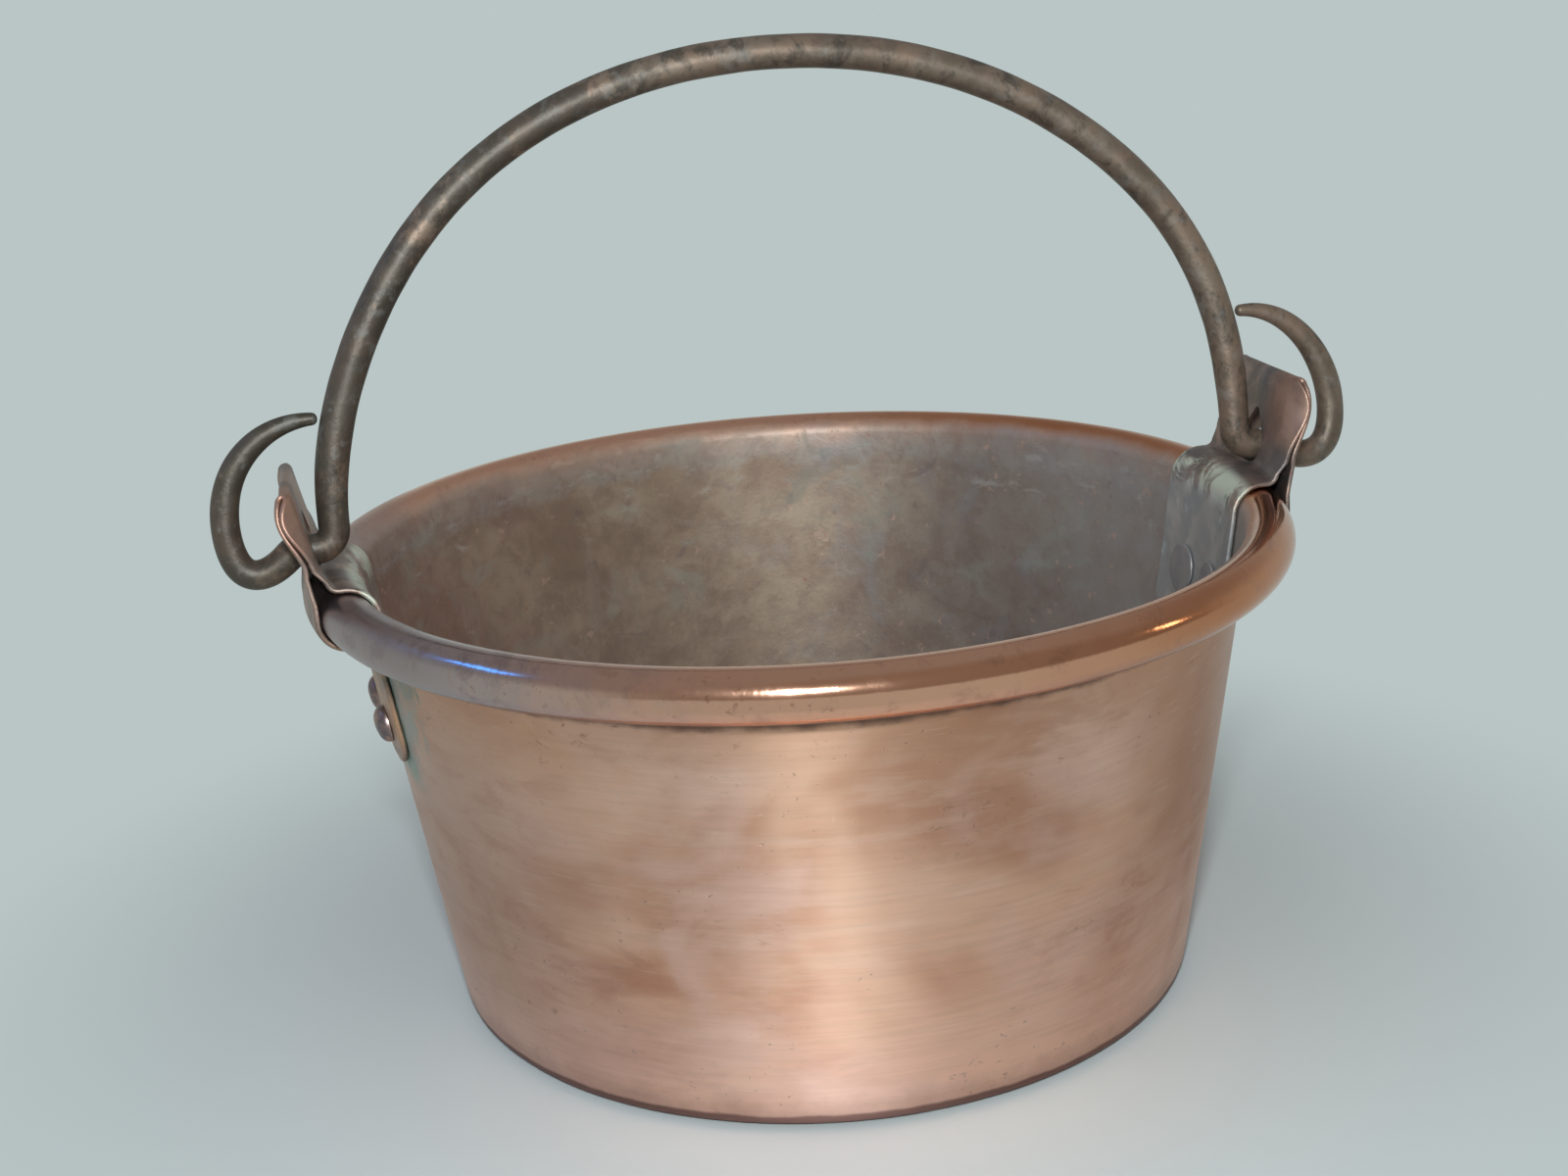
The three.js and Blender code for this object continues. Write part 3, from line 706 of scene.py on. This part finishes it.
def brushed_copper():
    """Outside of the wall and base: brushed round the pot, greyer and browner towards the ears as painted
    reflections, with painted shade under the roll, in its gap and round the foot, a painted highlight low
    down, smears and pits.
    """
    f = Finish("wall_brushed_copper", metallic=1.0, anisotropic=0.74, anisotropic_rotation=0.25)
    x, y, height = (f.along(axis) for axis in "XYZ")
    radius = f.radius()
    clouds = f.cloud(95, 3, 0.5, 8.0, 0.6, stretch=(1, 1, 1.2))
    colour = f.mix(f.step(clouds, 0.40, 0.60), (0.62, 0.315, 0.205), (0.86, 0.525, 0.375))
    rose = f.step(f.cloud(62, 4, 0.55, 3.0, 0.5, stretch=(1, 1, 1.4)), 0.46, 0.66)
    colour = f.mix(rose * 0.6, colour, (0.87, 0.57, 0.485))
    streaks = f.step(f.cloud(48, 5, 0.6, 33.0, 0.2, stretch=(1, 1, 6)), 0.48, 0.72)
    colour = f.mix(streaks * 0.35, colour, (0.91, 0.64, 0.51))
    wander = f.cloud(60, 3, 0.5, 11.0) * 0.3
    # Painted reflection: the wall turns greyer towards the left ear.
    left = f.step(x / radius - wander, -0.72, -1.1)
    colour = f.mix(left * 0.75, colour, (0.50, 0.31, 0.235))
    # Painted shade: the wall turns dark brown towards the right ear, less so low down.
    right = f.step(x / radius + wander, 0.5, 0.92) * f.step(height, 30, 110, 0.3, 1.0)
    colour = f.mix(right * 0.85, colour, (0.40, 0.165, 0.08))
    smears = f.step(f.cloud(34, 6, 0.62, 15.0, 0.7, stretch=(1, 1, 2.6)), 0.46, 0.72)
    smears = smears * f.step(f.cloud(85, 2, 0.5, 19.0), 0.36, 0.62)
    colour = f.mix(smears * 0.42, colour, (0.46, 0.215, 0.145))
    # Browner band under the roll: in part browner tone, in part painted shade under the roll.
    shoulder = f.step(height + f.cloud(26, 4, 0.6, 27.0) * 34, 140, 168)
    colour = f.mix(shoulder * 0.45, colour, (0.55, 0.27, 0.155))
    # Painted highlight and reflection of the lit floor: the lower wall turns lighter and pinker.
    low = f.step(height + f.cloud(34, 4, 0.6, 57.0) * 40, 78, 26)
    colour = f.mix(low * 0.5, colour, (0.90, 0.61, 0.51))
    lines = f.step(f.cloud(14, 5, 0.7, 83.0, stretch=(0.3, 0.3, 7)), 0.42, 0.62)
    colour = f.mix(lines * 0.14, colour, (0.50, 0.27, 0.185))
    grime = f.step(f.cloud(7, 6, 0.72, 31.0, 0.6, stretch=(1, 1, 2)), 0.57, 0.68)
    grime = grime * f.step(f.cloud(44, 3, 0.5, 37.0), 0.55, 0.65)
    colour = f.mix(grime * 0.5, colour, (0.33, 0.165, 0.105))
    pits = f.step(f.cloud(3.2, 3, 0.6, 21.0, stretch=(1, 1, 1.3)), 0.64, 0.71)
    pits = pits * f.step(f.cloud(38, 3, 0.5, 25.0), 0.52, 0.62)
    colour = f.mix(pits * 0.6, colour, (0.22, 0.115, 0.08))
    scratch = f.step(f.cloud(5, 2, 0.5, 43.0, stretch=(0.35, 0.35, 9)), 0.66, 0.7)
    colour = f.mix(scratch * 0.25, colour, (0.85, 0.60, 0.48))
    by_ears = f.step(abs(x), 136, 156) * f.step(height, 82, 122)
    verdigris = f.step(f.cloud(8, 6, 0.7, 63.0, 0.4, stretch=(1, 1, 0.6)) + by_ears * 0.3, 0.66, 0.84)
    colour = f.mix(verdigris * 0.7, colour, (0.36, 0.42, 0.35))
    from_leg = abs(y - EAR_SHIFT) - LEG_HALF_WIDTH
    crust = f.step(from_leg + f.cloud(9, 6, 0.7, 93.0, 0.4) * 26, 29, 14)
    crust = crust * f.step(abs(x), 120, 134)
    crust = crust * f.step(height + f.cloud(12, 5, 0.65, 95.0) * 12, 104, 114)
    crust_tone = f.mix(f.step(from_leg, 5, 0), (0.39, 0.385, 0.36), (0.24, 0.43, 0.37))
    colour = f.mix(crust * 0.6, colour, crust_tone)
    # Painted shadow: a dark line in the gap between the roll's edge and the wall.
    gap_shadow = f.step(height + f.cloud(12, 4, 0.6, 67.0) * 5, 151.2, 154.2)
    colour = f.mix(gap_shadow * 0.75, colour, (0.13, 0.07, 0.055))
    soiled = f.step(height + f.cloud(15, 4, 0.6, 29.0) * 16, 24, 12)
    colour = f.mix(soiled * 0.55, colour, (0.46, 0.27, 0.205))
    # Painted shade: a dark band round the base's rounded corner.
    foot_shade = f.step(height + f.cloud(12, 3, 0.6, 23.0) * 1.6, 6.3, 4.9)
    colour = f.mix(foot_shade * 0.85, colour, (0.17, 0.085, 0.075))
    fine = f.cloud(9, 3, 0.6, 1.0, stretch=(0.25, 0.25, 14))
    rough = f.step(height, 150, 25, 0.35, 0.47) + fine * 0.04 + smears * 0.05 + grime * 0.08
    rough = rough + foot_shade * 0.1 + gap_shadow * 0.25 + verdigris * 0.3 + crust * 0.1
    f.set(base_color=colour, roughness=rough,
          metallic=1 - pits * 0.3 - gap_shadow * 0.4 - verdigris * 0.4 - crust * 0.2)
    brush = f.cloud(1.6, 3, 0.6, 2.0, stretch=(0.06, 0.06, 1.6))
    f.bump(brush * 0.12 + clouds * 0.8 - pits * 0.5 - grime * 0.2, 0.1)
    return f.material


def rim_and_inside():
    """Polished roll, purple-grey at the left and orange at the right, and the brown tarnish of the inside."""
    f = Finish("rim_and_inside_copper", metallic=1.0)
    x, y, height = (f.along(axis) for axis in "XYZ")
    on_roll = f.step(height, 157, 161)
    beyond_crest = f.step(f.radius() + f.cloud(18, 3, 0.5, 2.0) * 4, 169.5, 162.5)
    inside = 1 - f.step(f.outside(), -0.4, 0.4) * (1 - on_roll) - on_roll * (1 - beyond_crest)

    drift = f.cloud(40, 4, 0.6, 30.0, 0.4) * 90
    roll = f.mix(f.step(x + drift, 40, 190), (0.78, 0.42, 0.28), (0.56, 0.225, 0.105))
    left = f.step(drift - x, 92, 190) * f.step(y, 90, -10)
    roll = f.mix(left, roll, (0.43, 0.345, 0.335))
    mottled = f.step(f.cloud(9, 5, 0.66, 32.0, 0.4), 0.5, 0.66) * left
    roll = f.mix(mottled * 0.5, roll, (0.24, 0.165, 0.17))
    spots = f.step(f.cloud(11, 5, 0.66, 12.0, 0.4), 0.55, 0.72)
    roll = f.mix(spots * 0.45, roll, (0.42, 0.215, 0.15))
    haze = f.step(f.cloud(24, 4, 0.6, 14.0, 0.4), 0.45, 0.65)
    dents = f.step(f.cloud(2.2, 3, 0.6, 16.0), 0.6, 0.7)
    dents = dents * f.step(f.cloud(30, 2, 0.5, 18.0), 0.5, 0.6)
    roll = f.mix(dents * 0.5, roll, (0.34, 0.17, 0.12))
    # Painted shade: the roll's underside darkened, and made rougher.
    under = f.step(height + f.cloud(9, 4, 0.6, 20.0) * 2.5, 160.0, 157.6)
    roll = f.mix(under * 0.8, roll, (0.24, 0.125, 0.09))
    by_ear = f.step(x + mottled * 8, -134, -152)
    roll = f.mix(by_ear * 0.45, roll, (0.30, 0.235, 0.22))
    roll_rough = 0.125 + left * 0.03 + by_ear * 0.2 + spots * 0.06 + haze * 0.03 + under * 0.2

    tarnish = f.cloud(58, 6, 0.62, 5.0, 0.5, stretch=(1, 1, 1.1))
    inner = f.mix(f.step(tarnish, 0.38, 0.62), (0.275, 0.18, 0.125), (0.37, 0.265, 0.185))
    red = f.step(f.cloud(46, 4, 0.6, 25.0, 0.5) * 100 - x * 0.35, 60, 110)
    inner = f.mix(red * 0.6, inner, (0.27, 0.14, 0.115))
    grey = f.step(f.cloud(70, 5, 0.6, 17.0, 0.5) * 130 + x, 85, 185)
    inner = f.mix(grey * 0.6, inner, (0.215, 0.185, 0.168))
    band = f.step(height + f.cloud(24, 5, 0.62, 35.0, 0.3) * 22, 163, 169)
    inner = f.mix(band * 0.5, inner, (0.35, 0.30, 0.265))
    mottle = f.step(f.cloud(13, 6, 0.7, 73.0, 0.3), 0.42, 0.62)
    inner = f.mix(mottle * 0.38, inner, (0.19, 0.115, 0.085))
    slate = f.step(f.cloud(26, 6, 0.66, 77.0, 0.4), 0.5, 0.64) * f.step(x, -40, 60)
    inner = f.mix(slate * 0.35, inner, (0.265, 0.245, 0.25))
    ashen = f.step(x + f.cloud(14, 6, 0.68, 85.0, 0.4) * 60, 138, 178)
    inner = f.mix(ashen * 0.4, inner, (0.34, 0.32, 0.305))
    green = f.step(f.cloud(34, 6, 0.66, 41.0, 0.5, stretch=(1, 1, 1.4)), 0.54, 0.68) * f.step(height, 70, 110)
    inner = f.mix(green * 0.35, inner, (0.28, 0.30, 0.25))
    purple = f.step(f.cloud(16, 5, 0.68, 45.0, 0.5), 0.6, 0.7)
    inner = f.mix(purple * 0.45, inner, (0.17, 0.115, 0.11))
    specks = f.step(f.cloud(5.5, 5, 0.7, 51.0, 0.3), 0.63, 0.7)
    specks = specks * f.step(f.cloud(60, 2, 0.5, 55.0), 0.46, 0.58)
    inner = f.mix(specks * 0.75, inner, (0.33, 0.11, 0.075))
    flecks = f.step(f.cloud(5.5, 3, 0.6, 81.0), 0.62, 0.68)
    flecks = flecks * f.step(f.cloud(40, 3, 0.5, 59.0), 0.5, 0.6)
    inner = f.mix(flecks * 0.5, inner, (0.52, 0.32, 0.24))
    wiped = f.step(f.cloud(17, 4, 0.6, 61.0, 0.3, stretch=(1, 1, 0.3)), 0.55, 0.68) * f.step(x, -20, -60)
    inner = f.mix(wiped * 0.25, inner, (0.36, 0.295, 0.24))
    scale = f.step(f.cloud(16, 6, 0.72, 71.0, 0.3, stretch=(1, 1, 2.4)), 0.55, 0.68)
    scale = scale * f.step(height, 122, 150)
    inner = f.mix(scale * 0.3, inner, (0.52, 0.49, 0.44))
    inner_rough = 0.44 + tarnish * 0.12 + green * 0.15 + scale * 0.15

    dull = f.step(inside, 0.0, 0.4)
    f.set(base_color=f.mix(inside, roll, inner), metallic=1 - inside * 0.5,
          roughness=roll_rough * (1 - dull) + inner_rough * dull)
    grain = f.cloud(2.6, 5, 0.68, 4.0)
    f.bump(grain * (0.16 + inside * 0.5) + tarnish * inside + haze * 0.35, 0.14)
    return f.material


def ear_copper():
    """Dark tarnish with grey-blue and red patches, brightened where the sheet's edges are handled."""
    f = Finish("ear_copper", metallic=1.0)
    x, y, height = (f.along(axis) for axis in "XYZ")
    outside = f.outside()
    body = f.cloud(22, 6, 0.64, 3.0, 0.6)
    colour = f.mix(f.step(body, 0.38, 0.62), (0.185, 0.14, 0.118), (0.40, 0.275, 0.22))
    blue = f.step(f.cloud(30, 5, 0.6, 9.0, 0.5), 0.5, 0.66)
    colour = f.mix(blue * 0.5, colour, (0.15, 0.145, 0.16))
    red = f.step(f.cloud(9, 5, 0.68, 19.0, 0.4), 0.6, 0.72)
    colour = f.mix(red * 0.5, colour, (0.30, 0.11, 0.075))
    green = f.step(f.cloud(11, 6, 0.7, 29.0, 0.5), 0.56, 0.7) * f.step(height, 172, 158)
    colour = f.mix(green * 0.5, colour, (0.17, 0.33, 0.27))
    orange = f.step(outside, 0.5, 2) * f.step(height, 165, 150)
    orange = orange * f.step(f.cloud(12, 4, 0.6, 69.0), 0.35, 0.6)
    colour = f.mix(orange * 0.7, colour, (0.56, 0.31, 0.18))
    salt = f.step(outside, 4, 0) * f.step(height, 160, 166) * f.step(height, 181, 175)
    salt = salt * f.step(f.cloud(16, 5, 0.65, 79.0, 0.4), 0.42, 0.54)
    colour = f.mix(salt * 0.8, colour, (0.56, 0.58, 0.46))
    dull = f.step(outside, 2, -1) * f.step(height, 171, 160) * f.step(x, -60, 60, 0.35, 1.0)
    dull_tone = f.mix(f.step(f.cloud(18, 5, 0.62, 49.0, 0.5), 0.42, 0.62),
                      (0.33, 0.325, 0.32), (0.44, 0.415, 0.39))
    dull_tone = f.mix(red * 0.5, dull_tone, (0.42, 0.25, 0.20))
    colour = f.mix(dull * 0.9, colour, dull_tone)
    ruddy = f.step(height, 184, 192) * f.step(y + f.cloud(18, 4, 0.6, 89.0) * 30, 4, -10)
    ruddy = ruddy * f.step(x, -60, 60, 0.6, 0.35)
    colour = f.mix(ruddy, colour, (0.52, 0.27, 0.185))
    rubbed = f.step(f.node("ShaderNodeNewGeometry", output="Pointiness"), 0.54, 0.66)
    worn = rubbed * f.step(f.cloud(14, 4, 0.6, 39.0), 0.3, 0.55)
    colour = f.mix(worn * 0.85, colour, (0.80, 0.46, 0.29))
    f.set(base_color=colour, roughness=0.42 + body * 0.12 - worn * 0.22 + green * 0.2,
          metallic=0.85 - green * 0.5 - dull * 0.3 - salt * 0.5)
    f.bump(f.cloud(3, 5, 0.65, 6.0) * 0.5 + body, 0.25)
    return f.material


def rivet_copper():
    """Dark blue-purple heads, tan where they are rubbed."""
    f = Finish("rivet_copper", metallic=1.0)
    body = f.cloud(7, 5, 0.62, 5.0, 0.5)
    colour = f.mix(f.step(body, 0.35, 0.65), (0.17, 0.135, 0.15), (0.42, 0.27, 0.21))
    inner = f.step(f.outside(), 0.5, -0.5)
    colour = f.mix(inner * 0.85, colour, f.mix(body, (0.30, 0.30, 0.305), (0.40, 0.39, 0.385)))
    rubbed = f.step(f.node("ShaderNodeNewGeometry", output="Pointiness"), 0.53, 0.62)
    colour = f.mix(rubbed * 0.6, colour, (0.62, 0.47, 0.38))
    f.set(base_color=colour, roughness=0.34 + body * 0.14 + inner * 0.08, metallic=1 - inner * 0.3)
    f.bump(body, 0.2)
    return f.material


def bail_iron():
    """Forged iron gone brown-black, with lighter worn patches, grey bloom, pocks and soot."""
    f = Finish("bail_iron", metallic=0.5)
    body = f.cloud(26, 6, 0.66, 2.0, 0.6)
    x, height = f.along("X"), f.along("Z")
    colour = f.mix(f.step(body, 0.40, 0.62), (0.10, 0.072, 0.050), (0.215, 0.155, 0.112))
    brown = f.step(f.cloud(20, 5, 0.66, 14.0, 0.5), 0.46, 0.62)
    colour = f.mix(brown * 0.6, colour, (0.25, 0.15, 0.10))
    worn = f.step(height + x * 0.4 + f.cloud(60, 4, 0.6, 34.0) * 60, 250, 350)
    colour = f.mix(worn * 0.4, colour, (0.24, 0.175, 0.13))
    pocks = f.step(f.cloud(5, 5, 0.7, 91.0), 0.5, 0.66)
    colour = f.mix(pocks * 0.4, colour, (0.085, 0.062, 0.048))
    soot = f.cloud(9, 5, 0.68, 44.0, 0.4, stretch=(1, 1, 0.6)) + f.step(x - height, -340, -420, 0.0, 0.16)
    soot = f.step(soot + f.step(x + height, 190, 60, 0.0, 0.10), 0.52, 0.64)
    colour = f.mix(soot * 0.65, colour, (0.050, 0.043, 0.034))
    grey = f.step(f.cloud(8, 6, 0.72, 24.0, 0.3), 0.53, 0.66)
    colour = f.mix(grey * 0.35, colour, (0.25, 0.235, 0.215))
    f.set(base_color=colour, roughness=0.36 + body * 0.2 + grey * 0.1)
    f.bump(f.cloud(2.6, 6, 0.7, 7.0) * 0.6 + body, 0.3)
    return f.material


def hoop_iron():
    """Plain rod that the roll hides."""
    f = Finish("hoop_iron", metallic=0.8)
    body = f.cloud(12, 4, 0.6)
    f.set(base_color=f.mix(body, (0.09, 0.07, 0.06), (0.22, 0.17, 0.14)), roughness=0.5 + body * 0.2)
    return f.material


# The pot put together

def finish_with(piece, material):
    piece.data.materials.clear()
    piece.data.materials.append(material)
    return piece


def fit(piece, body, slot, *nodes):
    """Hangs a piece on the body that it rides on and hides the parts of the model that it stands for; slot is
    not used.
    """
    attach(piece, body)
    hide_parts(*nodes)


fit(make_bowl(), "pot", "bowl_copper", "bowl")

ear_finish = ear_copper()
rivet_finish = rivet_copper()
for side in ("left", "right"):
    fit(finish_with(make_ear(side), ear_finish), "pot", "ear_copper", f"ear_{side}")
    for number, place in enumerate(("front", "back")):
        rivet = finish_with(make_rivet(side, place, 3.3 * number + len(side)), rivet_finish)
        fit(rivet, "pot", "rivet_copper", f"rivet_{side}_{place}")

fit(finish_with(make_bail(), bail_iron()), "bail", "bail_iron", "bail")
finish_with(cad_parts["rim_hoop"], hoop_iron())


# Floor, light and camera

BACKDROP = (0.49, 0.565, 0.56)
FLOOR_RADIUS = 7               # metres, as all sizes from here on
FLOOR_DROP = 0.0003            # so that the floor and the base never share a plane


def pale_board():
    """Smooth pale board that turns into the backdrop's even tone away from the pot."""
    f = Finish("pale_board", roughness=0.5)
    f.set(base_color=f.mix(f.cloud(160, 3, 0.5), (0.53, 0.545, 0.53), (0.56, 0.57, 0.55)))
    distance = f.node("ShaderNodeVectorMath", {0: f.place}, output="Value", operation="LENGTH")
    seen = f.node("ShaderNodeLightPath", output="Is Camera Ray")
    mirrored = f.node("ShaderNodeLightPath", output="Is Glossy Ray")
    far = f.step(distance, 0.15, 0.40) * seen + f.step(distance, 0.17, 0.34) * mirrored
    even = f.node("ShaderNodeEmission", {"Color": (*BACKDROP, 1), "Strength": 1.0})
    board = Wire(f, f.shader.outputs[0])
    f.join(f.node("ShaderNodeMixShader", {0: far, 1: board, 2: even}), "Material Output", "Surface")
    return f.material


def make_floor():
    bpy.ops.mesh.primitive_circle_add(vertices=96, radius=FLOOR_RADIUS, fill_type="NGON",
                                      location=(0, 0, -FLOOR_DROP))
    floor = bpy.context.object
    floor.name = "floor"
    floor.data.materials.append(pale_board())


def add_panel(name, location, aim, size, power, colour):
    """A rectangular soft light that faces aim."""
    lamp = bpy.data.lights.new(name, "AREA")
    lamp.shape = "RECTANGLE"
    lamp.size, lamp.size_y = size
    lamp.energy = power
    lamp.color = colour
    panel = bpy.data.objects.new(name, lamp)
    panel.location = location
    panel.rotation_euler = (Vector(aim) - Vector(location)).to_track_quat("-Z", "Y").to_euler()
    bpy.context.scene.collection.objects.link(panel)


def light_world():
    """Even pale light, the backdrop's tone for the camera, and for gloss a room that is dim in front."""
    world = bpy.data.worlds.new("pale_room")
    world.use_nodes = True
    bpy.context.scene.world = world
    w = Nodes(world.node_tree)
    towards = w.node("ShaderNodeTexCoord", output="Generated")
    upward = w.node("ShaderNodeSeparateXYZ", {0: towards}, output="Z")
    forward = w.node("ShaderNodeVectorMath", {0: towards, 1: (0.33, -0.94, 0.0)}, output="Value",
                     operation="DOT_PRODUCT")
    room = w.mix(w.step(upward, 0.1, 0.6), BACKDROP, (0.30, 0.31, 0.315))
    room = w.mix(w.step(forward, 0.1, 0.6) * w.step(upward, 0.0, 0.1), room, (0.25, 0.235, 0.21))
    soft = w.node("ShaderNodeBackground", {"Color": (0.88, 0.95, 1.0, 1), "Strength": 0.45})
    gloss = w.node("ShaderNodeBackground", {"Color": room})
    backdrop = w.node("ShaderNodeBackground", {"Color": (*BACKDROP, 1)})
    in_gloss = w.node("ShaderNodeLightPath", output="Is Glossy Ray")
    by_camera = w.node("ShaderNodeLightPath", output="Is Camera Ray")
    unseen = w.node("ShaderNodeMixShader", {0: in_gloss, 1: soft, 2: gloss})
    w.join(w.node("ShaderNodeMixShader", {0: by_camera, 1: unseen, 2: backdrop}), "World Output", "Surface")


EAR_DIRECTION = radians(14)    # how far the line through the ears is turned from the camera's
CAMERA_YAW = 0.0535            # radians, as are the next two
CAMERA_ELEVATION = 0.2996
CAMERA_ROLL = -0.0622
CAMERA_DISTANCE = 0.7821
CAMERA_AIM = Vector((-0.0072, 0, 0.1447))
CAMERA_LENS = 47.68            # millimetres on a sensor 36 wide


def place_camera():
    """Looks down at the pot from its front, turned a little to the left and tilted as the photo is."""
    turn = Matrix.Rotation(-EAR_DIRECTION, 3, "Z")
    back = Vector((math.sin(CAMERA_YAW) * math.cos(CAMERA_ELEVATION),
                   -math.cos(CAMERA_YAW) * math.cos(CAMERA_ELEVATION), math.sin(CAMERA_ELEVATION)))
    right = (-back).cross(Vector((0, 0, 1))).normalized()
    up = right.cross(-back)
    c, s = math.cos(CAMERA_ROLL), math.sin(CAMERA_ROLL)
    axes = [turn @ v for v in (c * right + s * up, c * up - s * right, back)]
    data = bpy.data.cameras.new("camera")
    data.lens = CAMERA_LENS
    data.sensor_width = 36
    camera = bpy.data.objects.new("camera", data)
    place = Matrix.Translation(turn @ (CAMERA_AIM + back * CAMERA_DISTANCE))
    camera.matrix_world = place @ Matrix(axes).transposed().to_4x4()
    bpy.context.scene.collection.objects.link(camera)
    bpy.context.scene.camera = camera
    return camera


make_floor()
camera = place_camera()
light_world()
eye = camera.matrix_world.translation
sideways = camera.matrix_world.to_3x3() @ Vector((1, 0, 0))
add_panel("flash", eye - sideways * 0.01 + Vector((0, 0, 0.12)), aim=(0, 0, 0.13),
          size=(0.06, 0.045), power=6.2, colour=(0.82, 0.94, 1.0))
add_panel("window", (-1.04, 0.08, 0.92), aim=(-0.127, -0.124, 0.17),
          size=(0.34, 0.1), power=0.8, colour=(0.03, 0.28, 1.0))
add_panel("doorway", (1.19, -0.42, 0.55), aim=(0.083, -0.159, 0.169),
          size=(0.1, 0.16), power=0.35, colour=(1.0, 0.8, 0.55))

scene = bpy.context.scene
scene.view_settings.view_transform = "Standard"
